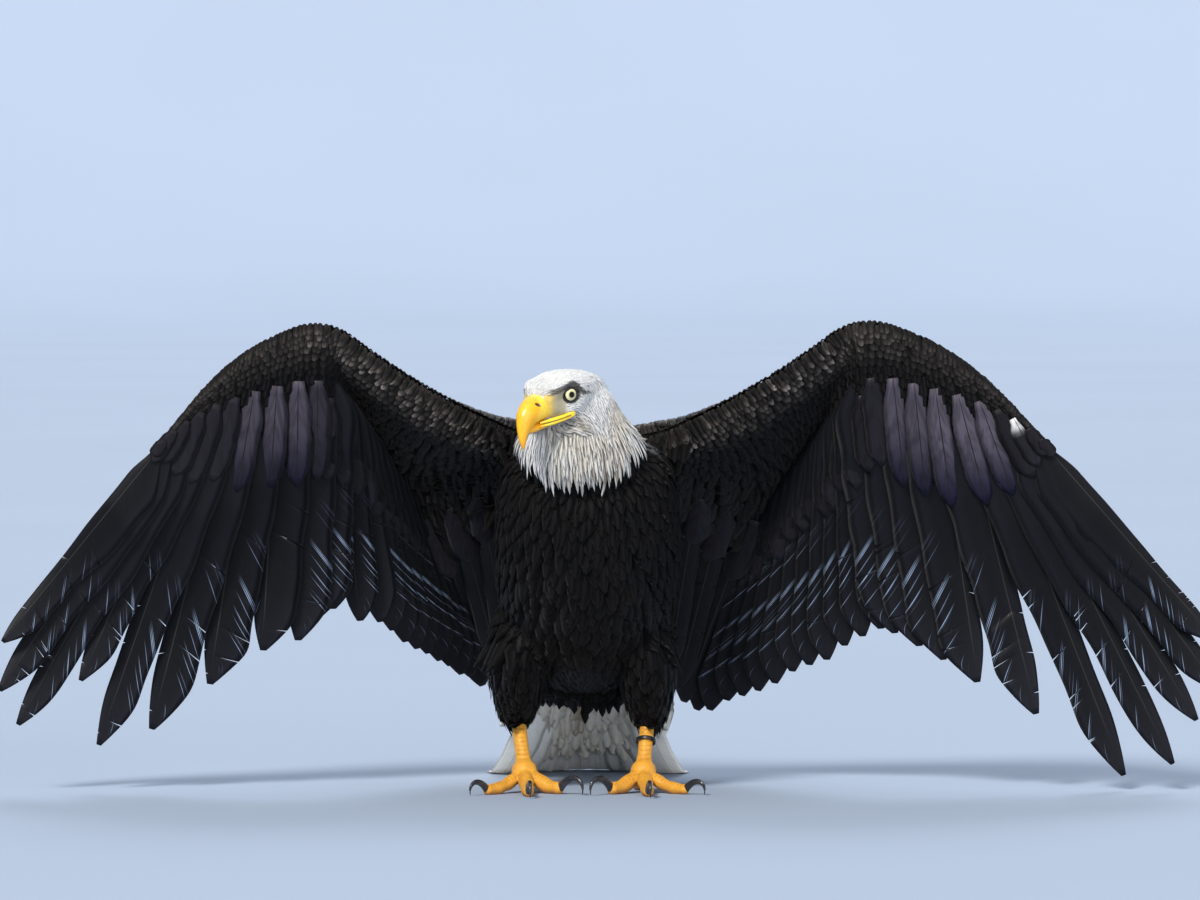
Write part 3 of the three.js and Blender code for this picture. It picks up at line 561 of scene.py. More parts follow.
SHEETS = {name: WingSheet(wing) for name, wing in WINGS.items()}


def skin_half(half, total, d):
    """Half thickness of the wing's skin under its coverts."""
    return np.maximum(np.maximum(half - 5.0, 0.45 * half), 1.7)


def wing_skin(name):
    """Rings round the wing's skin, from near the hand's end to inside the shoulder."""
    sheet = SHEETS[name]
    rings = []
    for s in np.linspace(-0.95, 1.12, 64):
        q = np.concatenate((np.linspace(0.012, 0.1, 6), np.linspace(0.14, 0.76, 16)))
        total = float(np.interp(s, sheet.S, sheet.total))
        middle, face, half, _ = sheet.at(np.full(len(q), s), q * total)
        half = skin_half(half, total, q * total)
        half[0] *= 0.5
        rings.append(np.concatenate((middle + face * half[:, None], (middle - face * half[:, None])[::-1])))
    return loft(rings)


# ---------------------------------------------------------------------------------------------------------
# The skin
# ---------------------------------------------------------------------------------------------------------
COAT = dict(head=2.0, neck=9.0, trunk=8.0, thigh=7.0, tail=5.0)
SKIN_GRID = 3.1  # millimetres between the skin's points


def trunk_skin():
    rings = []
    for at in np.linspace(0, len(TRUNK) - 1, 40):
        y, z, half, back, belly = smooth_row(TRUNK, at)
        ahead = smooth_row(TRUNK, min(at + 0.2, len(TRUNK) - 1))
        behind = smooth_row(TRUNK, max(at - 0.2, 0))
        axis = unit((0, ahead[0] - behind[0], ahead[1] - behind[1]))
        dorsal = unit(np.cross(axis, ACROSS))
        if dorsal[1] < 0:
            dorsal = -dorsal
        c = COAT["trunk"]
        rings.append(oval((0, y, z), ACROSS, dorsal, half - c, back - c, belly - c, 48))
    return loft(rings)


def neck_over(share):
    lean = math.radians(mix(48, 20, share))
    return np.array((0, math.cos(lean), math.sin(lean)))


def neck_skin():
    rings = []
    for at in np.linspace(0, len(NECK) - 1, 26):
        x, y, z, half, nape, throat = smooth_row(NECK, at)
        c = mix(COAT["neck"], 4, at / (len(NECK) - 1))
        over = neck_over(at / (len(NECK) - 1))
        rings.append(oval((x, y, z), ACROSS, over, half - c, nape - c, throat - c, 40))
    return loft(rings)


def head_skin():
    parts = []
    rings = []
    for at in np.linspace(0, len(CRANIUM) - 1, 40):
        f, half, above, below = smooth_row(CRANIUM, at)
        c = COAT["head"] * (1 - float(smooth(f, 14, 30)) * 0.8)
        rings.append(oval(head_point(f, 0, 0), LEFT, CROWN, half - c, max(above - c, 0.5), below - c, 40, 0.88))
    parts.append(loft(rings))
    for _, side in SIDES:
        line = [head_point(27, side * 15, 7), head_point(4, side * 36, 15), head_point(-26, side * 32, 4)]
        parts.append(taper(lambda t: bezier(line, t), 20, 12,
                           lambda t: 1.5 + 4.6 * math.sin(math.pi * min(max(t, 0.04), 0.96))))
    return joined(parts)


def thigh_skin(name):
    hip, ankle = vec(HIP[name]), vec(ANKLE[name])
    over = unit((0, 1, 0.25))
    rings = []
    for at in np.linspace(0, len(THIGH) - 1, 20):
        t, half, deep = smooth_row(THIGH, at)
        c = COAT["thigh"]
        rings.append(oval(mix(hip, ankle, min(t, 1.12)), ACROSS, over, half - c, deep - c, deep - c, 28))
    return loft(rings)


def rump_skin():
    rings = []
    for at in np.linspace(0, 3.6, 16):
        y, z, half, above, below = smooth_row(TAIL_COVERTS, at)
        c = COAT["tail"]
        rings.append(oval((0, y, z), ACROSS, vec((0, 0.5, 0.87)), half - 2 * c, max(above - c, 1.6),
                          max(below - c, 1.6), 32))
    return loft(rings)


def gaze(side):
    """Centre and axes of an eye: the way it looks, forwards across that, and up."""
    turn = math.radians(23)
    look = unit(LEFT * side * math.cos(turn) + FORWARD * math.sin(turn) + CROWN * 0.03)
    ahead = unit(FORWARD - look * (FORWARD @ look))
    over = np.cross(look, ahead) * side
    if over @ CROWN < 0:
        over = -over
    return head_point(-1, side * (EYE_SIDE + 1), 0), look, ahead, over


def round_eye(points, side):
    """Degrees from an eye's axis, the distance from its centre, and how far towards its brow that direction is."""
    centre, look, ahead, over = gaze(side)
    q = points - centre
    far = np.maximum(np.linalg.norm(q, axis=-1), 1e-6)
    angle = np.degrees(np.arccos(np.clip(q @ look / far, -1, 1)))
    up = (q @ (over * 0.94 + ahead * 0.34)) / np.maximum(np.hypot(q @ over, q @ ahead), 1e-6)
    return angle, far, up


def carve_orbits(points):
    """Sinks the skin round each eye, so that the eyeball stands in a hollow under its brow."""
    points = points.copy()
    for _, side in SIDES:
        angle, far, up = round_eye(points, side)
        opening = 50 - 17 * np.clip(up, 0, 1) ** 1.5
        keep = smooth(angle, opening, opening + 24)
        near = far < 30
        new = np.where(near, mix(np.minimum(far, 10.2), far, keep), far)
        centre = gaze(side)[0]
        points = centre + (points - centre) * (new / far)[:, None]
    return points


NECK_BASE = vec(NECK[0][:3])
NECK_AXIS = unit((0, -math.sin(math.radians(44)), math.cos(math.radians(44))))
HEM = 384  # height of the lowest hackles' roots, at the throat
TAIL_WAY = unit((0, 0.87, -0.5))
TAIL_FOOT = vec((0, 92, 132))


def above_hem(points):
    """How high points lie above the line from throat to nape where the white hackles' roots begin."""
    x, y, z = points.T
    ragged = 4 * np.sin(x * 0.16) + 2.5 * np.sin(x * 0.43 + 1) + 2.5 * np.sin(y * 0.3)
    return z - HEM - 0.457 * (y + 145) - 22 * ((x + 12) / 70) ** 2 - ragged


def kind_of(points):
    """Which part of the plumage grows at each point: 0 head, 1 neck, 2 trunk, 3 thighs, 4 tail coverts, 5 wing."""
    x, y, z = points.T
    kind = np.full(len(points), 2)
    kind[(np.abs(x) > 118) & (z > 222)] = 5
    kind[(above_hem(points) > 0) & (kind != 5) & (np.abs(x + 10) < 80)] = 1
    kind[((points - (-30, -110, 441)) @ unit((-0.12, -0.5, 0.85)) > 0) & (np.abs(x + 40) < 62)] = 0
    for name, _ in SIDES:
        hip, ankle = vec(HIP[name]), vec(ANKLE[name])
        way = unit(ankle - hip)
        t = (points - hip) @ way
        off = np.linalg.norm((points - hip - np.outer(t, way)) * (1, 0.7, 1), axis=1)
        kind[(off < 40) & (z < 158) & (y < 104)] = 3
    down_tail = (points - TAIL_FOOT) @ TAIL_WAY
    kind[(down_tail > 8 + 4 * np.sin(x * 0.2)) & (kind == 2)] = 4
    return kind


def build_skin():
    parts = [head_skin(), neck_skin(), trunk_skin(), rump_skin()]
    for name, _ in SIDES:
        parts += [thigh_skin(name), wing_skin(name)]
    points, faces = joined(parts)
    o = mesh_piece("skin", points, faces)
    apply(o, "REMESH", mode="VOXEL", voxel_size=SKIN_GRID / 1000, use_smooth_shade=True)
    apply(o, "SMOOTH", factor=0.5, iterations=6)
    bm = bmesh.new()
    bm.from_mesh(o.data)
    head = []
    for e in bm.edges:
        p = head_place(np.array([vec(v.co) * 1000 + SHIFT for v in e.verts]))
        if (p[:, 0] > -34).all() and (np.abs(p[:, 2]) < 34).all() and (np.abs(p[:, 1]) < 44).all():
            head.append(e)
    bmesh.ops.subdivide_edges(bm, edges=head, cuts=1, use_grid_fill=True)
    bm.to_mesh(o.data)
    bm.free()
    set_bird_points(o, carve_orbits(bird_points(o)))
    o.data.shade_smooth()
    return o


# ---------------------------------------------------------------------------------------------------------
# Colours (linear)
# ---------------------------------------------------------------------------------------------------------
DARK = vec((0.0036, 0.0030, 0.0029))
DARK_EDGE = vec((0.0100, 0.0078, 0.0070))
# painted glints on the edges of the coverts along the wing's leading edge
LIT_EDGE = vec((0.13, 0.108, 0.092))
FLIGHT = vec((0.0038, 0.0037, 0.0048))
FLIGHT_SHEEN = vec((0.0110, 0.0108, 0.0152))
# painted sheen on the greater coverts under the hand: lit grey-violet at their bases, fading to blue-black at their
# tips
COVERT_SHEEN = vec((0.082, 0.070, 0.092))
COVERT_SHEEN_END = vec((0.008, 0.0075, 0.022))
GREATER = vec((0.0120, 0.0105, 0.0142))
WHITE = vec((0.90, 0.885, 0.85))
STREAK = vec((0.34, 0.26, 0.18))
STAIN = vec((0.42, 0.24, 0.09))
LORE = vec((0.36, 0.31, 0.18))
# painted shadow under the bill, laid on the chin's white feathers
CHIN_SHADOW = vec((0.22, 0.175, 0.12))
RUSTY = vec((0.20, 0.12, 0.065))
# near black of the rim round the eye and of the painted shadow under the brow
RIM_AND_BROW_SHADOW = vec((0.018, 0.014, 0.012))
CERE = vec((0.93, 0.62, 0.05))
BILL = vec((0.92, 0.45, 0.012))
FOOT_SKIN = vec((0.86, 0.40, 0.03))


def cloud(points, size, seed=0.0):
    """Smooth random values from -1 to 1 over space."""
    return np.array([noise.noise(Vector(p) / size + Vector((seed, 0, 0))) for p in points])


# The upper edge of the dark band under the brow, which is painted shadow of the brow: where along the head, and how
# high.
BROW_SHADOW_AT = (-28, -20, -13, -8, -3, 4, 10, 14, 20, 27)
BROW_SHADOW_TOP = (-3.2, -0.6, 3.4, 10.5, 15.0, 15.0, 13.2, 11.6, 10.6, 9.6)


def face_marks(p):
    """How dark the face is round the eye (a dark rim, and under the brow its narrow dark bare edge with painted shadow
    of the brow), and how far the lore reaches, for points of the head.
    """
    f, l, u = p[:, 0], np.abs(p[:, 1]), p[:, 2]
    near = l > 12
    ring = 1 - smooth(np.hypot(f, u), 9.2, 11.5)
    brow = np.interp(f, BROW_SHADOW_AT, BROW_SHADOW_TOP)
    deep = np.interp(f, (-20, -10, 4, 13), (3.6, 9.0, 10.5, 7.4))
    # band: painted shadow cast by the brow, over the brow's narrow dark bare edge
    band = (1 - smooth(u, brow - 0.4, brow + 0.9)) * smooth(u, brow - deep, brow - deep + 2.2)
    band *= smooth(f, -30, -23) * (1 - smooth(f, 24, 29))
    dark = np.where(near, np.maximum(ring, band * 0.95), 0)
    lore = smooth(f, 5, 13) * (1 - smooth(u, 3, 8)) * smooth(u, -25, -20) * near
    return dark, lore


def face_colours(base, points):
    """Puts the lores, the dark rim round the eye and the painted shadow under the brow into the colours of feathers, at
    each row's own place.
    """
    p = head_place(points.reshape(-1, 3))
    dark, lore = face_marks(p)
    flat = base.reshape(-1, 3)
    lore_colour = mix(LORE[None], CERE[None] * 0.75, smooth(p[:, 0], 20, 29)[:, None])
    flat = mix(flat, lore_colour, lore[:, None] * 0.85)
    # the dark rim round the eye and the painted shadow under the brow: near black, turning dull olive in front of the
    # eye
    bare = mix(RIM_AND_BROW_SHADOW[None], LORE[None] * 0.32, smooth(p[:, 0], 9, 17)[:, None])
    return mix(flat, bare, dark[:, None] * 0.97).reshape(base.shape)


def skin_colours(points):
    kind = kind_of(points)
    colour = np.tile(DARK * 1.3, (len(points), 1))
    colour[(kind == 0) | (kind == 1)] = WHITE * (0.72, 0.68, 0.64)
    colour[kind == 4] = WHITE * 0.7
    p = head_place(points)
    on_head = kind == 0
    painted = face_colours(colour, points)
    colour[on_head] = painted[on_head]
    return colour


# ---------------------------------------------------------------------------------------------------------
# Feathers that grow on the skin
# ---------------------------------------------------------------------------------------------------------
def lie_field(points, kind):
    """The way the feathers lie at each point."""
    way = np.empty_like(points)
    p = head_place(points)
    droop = (smooth(30 - p[:, 0], 18, 74) * smooth(-p[:, 2], -30, 6))[:, None]
    head = -FORWARD[None] * (1 - 0.75 * droop) - UP[None] * (0.12 + 1.25 * droop)
    head += LEFT[None] * (np.sign(p[:, 1]) * 0.35 * smooth(p[:, 0], 0, 30))[:, None]
    nape = smooth(points[:, 1] + 84, -10, 40)[:, None]
    neck = np.array((0.08, 0.22, -0.97)) + nape * (0, 0.6, -0.1)
    neck = neck + np.stack(((points[:, 0] + 10) * 0.0016, np.zeros(len(points)), np.zeros(len(points))), axis=1)
    trunk = np.tile(np.array((0, 0.55, -0.83)), (len(points), 1))
    thigh = np.tile(np.array((0, 0.12, -0.99)), (len(points), 1))
    tail = np.tile(TAIL_WAY, (len(points), 1)) + np.stack(
        (points[:, 0] * 0.001, np.zeros(len(points)), np.zeros(len(points))), axis=1)
    for k, field in enumerate((head, neck, trunk, thigh, tail)):
        way[kind == k] = field[kind == k]
    way[kind == 5] = trunk[kind == 5]
    return unit(way)


def under_tail(points):
    """1 for points on the rump's underside, 0 for those above."""
    middle = np.interp(points[:, 1], [r[0] for r in TAIL_COVERTS], [r[1] for r in TAIL_COVERTS])
    return smooth(middle - points[:, 2], 0, 12)


def feather_sizes(points, kind):
    """Length, half width and spacing of the feathers at each point, and how far their tips stand off."""
    p = head_place(points)
    t = np.clip((30 - p[:, 0]) / 95, 0, 1)
    eye = np.minimum(np.linalg.norm(points - gaze(1)[0], axis=1), np.linalg.norm(points - gaze(-1)[0], axis=1))
    near = smooth(eye, 12, 26)
    high = smooth(above_hem(points), 4, 62)
    down = np.clip((396 - points[:, 2]) / 200, 0, 1)
    low = np.clip((158 - points[:, 2]) / 80, 0, 1)
    sizes = np.empty((len(points), 4))
    vent = 1 - smooth(points[:, 2], 128, 190)
    sizes[:] = np.stack((mix(mix(40, 54, down), 32, vent), mix(mix(8, 10.5, down), 5, vent),
                         mix(mix(8.5, 11, down), 6, vent), mix(mix(4, 5.5, down), 3, vent)), axis=1)
    crown = smooth(p[:, 2], 2, 18)
    head = (mix(6.5, 21, t) * mix(0.5, 1, near), mix(0.95, 2.1, t) * mix(0.8, 1, near),
            mix(1.45, 2.45, t) * mix(0.85, 1, near), mix(0.5, 1.7, t) * mix(1, 0.35, crown))
    hackle = (44, 3.1, 2.95, 7.5)
    head = np.stack([mix(h, f, high) for h, f in zip(hackle, head)], axis=1)
    neck = head
    thigh = np.stack((mix(36, 27, low), mix(7.5, 6, low), mix(7.6, 6.2, low), mix(5.5, 4.5, low)), axis=1)
    below = under_tail(points) * (1 - smooth(np.abs(points[:, 0]), 52, 84))
    tail = np.stack((mix(56, 92, below), mix(9.5, 10.5, below), mix(9, 8, below), mix(3, 2.5, below)), axis=1)
    for k, table in enumerate((head, neck, None, thigh, tail)):
        if table is not None:
            sizes[kind == k] = table[kind == k]
    return sizes


def scatter_roots(points, triangles):
    """Roots spread evenly over the skin, each no nearer to its neighbours than its own spacing."""
    corners = points[triangles]
    centre = corners.mean(axis=1)
    kind = kind_of(centre)
    spacing = feather_sizes(centre, kind)[:, 2]
    area = 0.5 * np.linalg.norm(np.cross(corners[:, 1] - corners[:, 0], corners[:, 2] - corners[:, 0]), axis=1)
    weight = np.where(kind == 5, 0, area / spacing**2)
    number = int(weight.sum() * 5)
    chosen = rng.choice(len(triangles), number, p=weight / weight.sum())
    a, b = rng.random((2, number))
    flip = a + b > 1
    a[flip], b[flip] = 1 - a[flip], 1 - b[flip]
    c = corners[chosen]
    spots = c[:, 0] + a[:, None] * (c[:, 1] - c[:, 0]) + b[:, None] * (c[:, 2] - c[:, 0])
    reach = spacing[chosen]
    cell = 14.0
    taken, kept = {}, []
    for i, (x, y, z) in enumerate(spots.tolist()):
        r = reach[i]
        key = (int(x // cell), int(y // cell), int(z // cell))
        clear = True
        for dx in (-1, 0, 1):
            for dy in (-1, 0, 1):
                for dz in (-1, 0, 1):
                    for q in taken.get((key[0] + dx, key[1] + dy, key[2] + dz), ()):
                        if (q[0] - x) ** 2 + (q[1] - y) ** 2 + (q[2] - z) ** 2 < r * r:
                            clear = False
                            break
                    if not clear:
                        break
                if not clear:
                    break
            if not clear:
                break
        if clear:
            taken.setdefault(key, []).append((x, y, z))
            kept.append(i)
    return spots[kept], kind_of(spots[kept])


ROUND = (np.array((0, 0.14, 0.34, 0.55, 0.73, 0.87, 0.96, 1.0)), np.array((0.3, 0.62, 0.9, 1.0, 0.96, 0.76, 0.46, 0.08)))
OVAL = (np.array((0, 0.16, 0.38, 0.6, 0.78, 0.92, 1.0)), np.array((0.4, 0.75, 1.0, 0.98, 0.72, 0.34, 0.04)))
LANCE = (np.array((0, 0.15, 0.36, 0.58, 0.78, 0.92, 1.0)), np.array((0.45, 0.8, 1.0, 0.86, 0.56, 0.26, 0.03)))
SMALL = (np.array((0, 0.3, 0.62, 0.86, 1.0)), np.array((0.6, 1.0, 0.9, 0.5, 0.06)))


def lay_feathers(tree, roots, kind, shape):
    """Spines of feathers that follow the skin from their roots: points and outward directions, row by row."""
    rows = shape[0]
    sizes = feather_sizes(roots, kind)
    n = len(roots)
    length = sizes[:, 0] * np.where(kind == 1, rng.uniform(0.62, 1.15, n), rng.uniform(0.82, 1.15, n))
    way = lie_field(roots, kind)
    turn = rng.normal(0, 0.09, n) + np.where(kind == 1, 0.42 * cloud(roots, 7.0, 3.0), 0)
    spine, out = np.empty((n, len(rows), 3)), np.empty((n, len(rows), 3))
    spot = roots.copy()
    for j, v in enumerate(rows):
        if j:
            spot = spot + way * (length * (v - rows[j - 1]))[:, None]
        hits = [tree.find_nearest(Vector(p)) for p in spot]
        touch = np.array([h[0][:] for h in hits])
        normal = unit(np.array([h[1][:] for h in hits]))
        if j:
            clear = np.sum((spot - touch) * normal, axis=1)
            beyond = smooth(clear, 1.6, 3.6)[:, None]
            normal = unit(mix(normal * 0.6 + out[:, j - 1] * 0.4, out[:, j - 1], beyond))
            spot = mix(touch, spot, beyond)
        else:
            spot = touch
        field = lie_field(spot, kind) * 0.5 + way * 0.5 if j else way
        side = np.cross(normal, field)
        field = field + side * (turn * (1 if j == 0 else 0.25))[:, None]
        way = unit(field - normal * np.sum(field * normal, axis=1)[:, None])
        spine[:, j], out[:, j] = spot, normal
    rise = sizes[:, 3] * rng.uniform(0.75, 1.3, n)
    lift = 0.4 + np.outer(rise, rows ** 1.15)
    return spine + out * lift[..., None], out, sizes, length


def plume(pile, spine, out, half, shape, colour, place, thick=0.55, cup=0.22, ragged=0.10, columns=3):
    n = len(spine)
    wide = shape[1][None] * half[:, None]
    left = wide * (1 + rng.normal(0, ragged, wide.shape))
    right = wide * (1 + rng.normal(0, ragged, wide.shape))
    depth = np.broadcast_to(thick * (1 - 0.6 * shape[0])[None], wide.shape)
    pile.add(spine, out, np.abs(left), np.abs(right), depth, np.full(n, cup), colour, place, columns=columns)


def tinted(base, edge, n, rows, columns, vary=0.12, tip=0.65):
    """Colours for n feathers that pass from base to edge towards the tip and sides."""
    v = rows[None, :, None, None]
    x = np.abs(np.linspace(-1, 1, columns))[None, None, :, None]
    share = np.clip(smooth(v, tip, 1.0) * 0.8 + smooth(x, 0.5, 1.0) * 0.35, 0, 1)
    base = np.broadcast_to(np.asarray(base, float).reshape(-1, 1, 1, 3), (n, 1, 1, 3))
    edge = np.broadcast_to(np.asarray(edge, float).reshape(-1, 1, 1, 3), (n, 1, 1, 3))
    each = rng.lognormal(0, vary, (n, 1, 1, 1))
    return mix(base, edge, share) * each


def round_place(points, centre, axis, low, high, side):
    """The place of points on an unwrap round an axis: the angle about it and the way along it."""
    axis, side = unit(axis), unit(side)
    over = np.cross(axis, side)
    q = points - vec(centre)
    angle = np.arctan2(q @ side, q @ over) / (2 * math.pi) + 0.5
    along = np.clip((q @ axis - low) / (high - low), 0, 1)
    return np.stack((0.01 + 0.98 * angle, 0.01 + 0.98 * along), axis=1)


# ---------------------------------------------------------------------------------------------------------
# Materials
# ---------------------------------------------------------------------------------------------------------
class Nodes:
    """A material's node tree, with short calls for the nodes used here."""

    def __init__(self, name):
        self.material = bpy.data.materials.new(name)
        self.material.use_nodes = True
        self.tree = self.material.node_tree
        self.shader = self.tree.nodes["Principled BSDF"]

    def add(self, kind, **settings):
        node = self.tree.nodes.new(kind)
        for key, value in settings.items():
            if key in node.inputs and not hasattr(node, key):
                node.inputs[key].default_value = value
            else:
                setattr(node, key, value)
        return node

    def link(self, a, b):
        self.tree.links.new(a, b)

    def put(self, socket, value):
        if hasattr(value, "links"):
            self.link(value, socket)
        else:
            socket.default_value = value

    def math(self, operation, a, b=0.0, clamp=False):
        node = self.add("ShaderNodeMath", operation=operation, use_clamp=clamp)
        self.put(node.inputs[0], a)
        self.put(node.inputs[1], b)
        return node.outputs[0]

    def mix(self, factor, a, b, blend="MIX"):
        node = self.add("ShaderNodeMix", data_type="RGBA", blend_type=blend)
        self.put(node.inputs[0], factor)
        self.put(node.inputs[6], a)
        self.put(node.inputs[7], b)
        return node.outputs[2]

    def ramp(self, value, low, high, to_low=0.0, to_high=1.0):
        node = self.add("ShaderNodeMapRange", interpolation_type="SMOOTHSTEP")
        for socket, v in zip(node.inputs, (value, low, high, to_low, to_high)):
            self.put(socket, v)
        return node.outputs[0]

    def place(self):
        return self.add("ShaderNodeTexCoord").outputs["Object"]

    def noise(self, scale, detail=3.0, vector=None):
        node = self.add("ShaderNodeTexNoise")
        node.inputs["Scale"].default_value = scale
        node.inputs["Detail"].default_value = detail
        self.link(vector or self.place(), node.inputs["Vector"])
        return node.outputs["Fac"]

    def voronoi(self, scale, vector=None, feature="DISTANCE_TO_EDGE"):
        node = self.add("ShaderNodeTexVoronoi", feature=feature)
        node.inputs["Scale"].default_value = scale
        self.link(vector or self.place(), node.inputs["Vector"])
        return node.outputs["Distance"]

    def bump(self, height, strength, distance=0.001):
        node = self.add("ShaderNodeBump")
        node.inputs["Strength"].default_value = strength
        node.inputs["Distance"].default_value = distance
        self.link(height, node.inputs["Height"])
        self.link(node.outputs[0], self.shader.inputs["Normal"])

    def shade(self):
        return self.add("ShaderNodeVertexColor", layer_name="shade").outputs["Color"]

    def set(self, **values):
        for key, value in values.items():
            self.shader.inputs[key.replace("_", " ")].default_value = value


def feather_material(name, barbs, slant, rough, sheen, shaft, shaft_colour, strength=0.5, coat=0.0, contrast=0.3,
                     gloss=0.2, soft=0.0, slits=0.0):
    """Vanes: the colour of each feather, barbs that slant away from the shaft in clumps, and the shaft itself."""
    n = Nodes(name)
    uv = n.add("ShaderNodeUVMap", uv_map="vane").outputs[0]
    split = n.add("ShaderNodeSeparateXYZ")
    n.link(uv, split.inputs[0])
    off = n.math("ABSOLUTE", n.math("SUBTRACT", n.math("MULTIPLY", split.outputs[0], 2.0), 1.0))
    phase = n.math("SUBTRACT", n.math("MULTIPLY", split.outputs[1], barbs), n.math("MULTIPLY", off, slant))
    rib = n.math("MULTIPLY", n.math("ADD", n.math("SINE", n.math("MULTIPLY", phase, 2 * math.pi)), 1.0), 0.5)
    spot = n.add("ShaderNodeCombineXYZ")
    n.link(n.math("MULTIPLY", phase, 0.42), spot.inputs[0])
    n.link(n.math("MULTIPLY", split.outputs[0], 2.2), spot.inputs[1])
    n.link(n.math("MULTIPLY", n.noise(4, 1), 30.0), spot.inputs[2])
    clump = n.noise(1.0, 3, spot.outputs[0])
    patchy = n.noise(30, 3)
    stem = n.ramp(off, shaft * 0.5, shaft, 1.0, 0.0)
    stem = n.math("MULTIPLY", stem, n.ramp(split.outputs[1], 0.80, 0.98, 1.0, 0.0))
    base = n.mix(n.ramp(patchy, 0.35, 0.7, 0.0, contrast), n.shade(), (0.5, 0.5, 0.5, 1), "MULTIPLY")
    base = n.mix(n.ramp(clump, 0.38, 0.66, 0.0, contrast * 2.2), base, (0.42, 0.42, 0.42, 1), "MULTIPLY")
    base = n.mix(n.math("MULTIPLY", rib, contrast * 0.5), base, (0.5, 0.5, 0.5, 1), "MULTIPLY")
    base = n.mix(stem, base, shaft_colour)
    if slits:
        # painted light: where barbs part near the broad vane's edge, a pale blue-grey stands in for light seen through
        # the gaps
        line = n.add("ShaderNodeCombineXYZ")
        n.link(n.math("MULTIPLY", phase, 0.55), line.inputs[0])
        n.link(n.math("MULTIPLY", n.noise(1, 0), 6.0), line.inputs[1])
        light_through_barbs = n.ramp(n.noise(1.0, 1, line.outputs[0]), 0.63, 0.70)
        light_through_barbs = n.math("MULTIPLY", light_through_barbs, n.ramp(split.outputs[0], 0.66, 0.86))
        light_through_barbs = n.math("MULTIPLY", light_through_barbs, n.ramp(split.outputs[1], 0.45, 0.62))
        light_through_barbs = n.math("MULTIPLY", light_through_barbs, n.ramp(split.outputs[1], 0.93, 0.97, 1.0, 0.0))
        base = n.mix(n.math("MULTIPLY", light_through_barbs, slits), base, (0.30, 0.38, 0.52, 1))
    n.link(base, n.shader.inputs["Base Color"])
    n.link(n.ramp(clump, 0.3, 0.7, rough - 0.08, rough + 0.12), n.shader.inputs["Roughness"])
    height = n.math("ADD", n.math("MULTIPLY", rib, 0.10), n.math("MULTIPLY", clump, 1.0))
    n.bump(n.math("ADD", height, n.math("MULTIPLY", stem, 1.0)), strength, 0.0006)
    n.set(Sheen_Weight=sheen, Sheen_Roughness=0.4, Coat_Weight=coat, Coat_Roughness=0.35)
    n.shader.inputs["Specular IOR Level"].default_value = gloss
    n.set(Subsurface_Weight=soft, Subsurface_Scale=0.006, Subsurface_Radius=(1.0, 0.92, 0.8))
    return n.material


def skin_material():
    n = Nodes("bare_skin")
    pores = n.voronoi(900)
    base = n.mix(n.ramp(n.noise(160, 4), 0.35, 0.7, 0.0, 0.35), n.shade(), (0.55, 0.5, 0.46, 1), "MULTIPLY")
    n.link(base, n.shader.inputs["Base Color"])
    n.link(n.ramp(n.noise(90, 2), 0.3, 0.7, 0.55, 0.8), n.shader.inputs["Roughness"])
    n.bump(n.math("ADD", n.ramp(pores, 0.0, 0.12), n.noise(300, 4)), 0.35, 0.0008)
    n.shader.inputs["Specular IOR Level"].default_value = 0.15
    return n.material


def bill_material():
    n = Nodes("bill_horn")
    streaks = n.noise(70, 5)
    base = n.mix(n.ramp(streaks, 0.35, 0.72, 0.0, 0.30), n.shade(), (0.9, 0.62, 0.35, 1), "MULTIPLY")
    fine = n.noise(420, 3)
    base = n.mix(n.ramp(fine, 0.55, 0.75, 0.0, 0.20), base, (0.75, 0.55, 0.35, 1), "MULTIPLY")
    n.link(base, n.shader.inputs["Base Color"])
    n.link(n.ramp(n.noise(120, 3), 0.3, 0.75, 0.26, 0.46), n.shader.inputs["Roughness"])
    n.bump(n.math("ADD", n.math("MULTIPLY", n.noise(190, 5), 0.7), n.math("MULTIPLY", n.noise(900, 2), 0.2)), 0.3, 0.0012)
    n.set(Coat_Weight=0.25, Coat_Roughness=0.2, Subsurface_Weight=0.08, Subsurface_Scale=0.004)
    return n.material


def foot_material():
    n = Nodes("foot_scales")
    cells = n.voronoi(760)
    grooves = n.ramp(cells, 0.0, 0.14)
    base = n.mix(n.ramp(grooves, 0.0, 1.0, 0.26, 0.0), n.shade(), (0.45, 0.22, 0.07, 1))
    base = n.mix(n.ramp(n.noise(130, 4), 0.4, 0.75, 0.0, 0.45), base, (0.8, 0.55, 0.35, 1), "MULTIPLY")
    n.link(base, n.shader.inputs["Base Color"])
    n.link(n.ramp(n.noise(160, 3), 0.3, 0.75, 0.38, 0.6), n.shader.inputs["Roughness"])
    n.bump(n.math("ADD", grooves, n.math("MULTIPLY", n.noise(500, 3), 0.35)), 0.75, 0.0009)
    n.set(Coat_Weight=0.12, Coat_Roughness=0.3)
    return n.material


def claw_material():
    n = Nodes("claw_horn")
    base = n.mix(n.ramp(n.noise(140, 4), 0.4, 0.75), (0.010, 0.010, 0.012, 1), (0.035, 0.032, 0.034, 1))
    n.link(base, n.shader.inputs["Base Color"])
    n.link(n.ramp(n.noise(260, 3), 0.3, 0.75, 0.18, 0.38), n.shader.inputs["Roughness"])
    n.bump(n.noise(320, 4), 0.15, 0.0006)
    n.set(Coat_Weight=0.5, Coat_Roughness=0.12)
    return n.material


def band_material():
    n = Nodes("ring_metal")
    base = n.mix(n.ramp(n.noise(320, 5), 0.45, 0.7), (0.022, 0.022, 0.025, 1), (0.09, 0.085, 0.08, 1))
    n.link(base, n.shader.inputs["Base Color"])
    n.link(n.ramp(n.noise(500, 3), 0.3, 0.7, 0.3, 0.55), n.shader.inputs["Roughness"])
    n.bump(n.noise(700, 3), 0.2, 0.0004)
    n.set(Metallic=0.85)
    return n.material


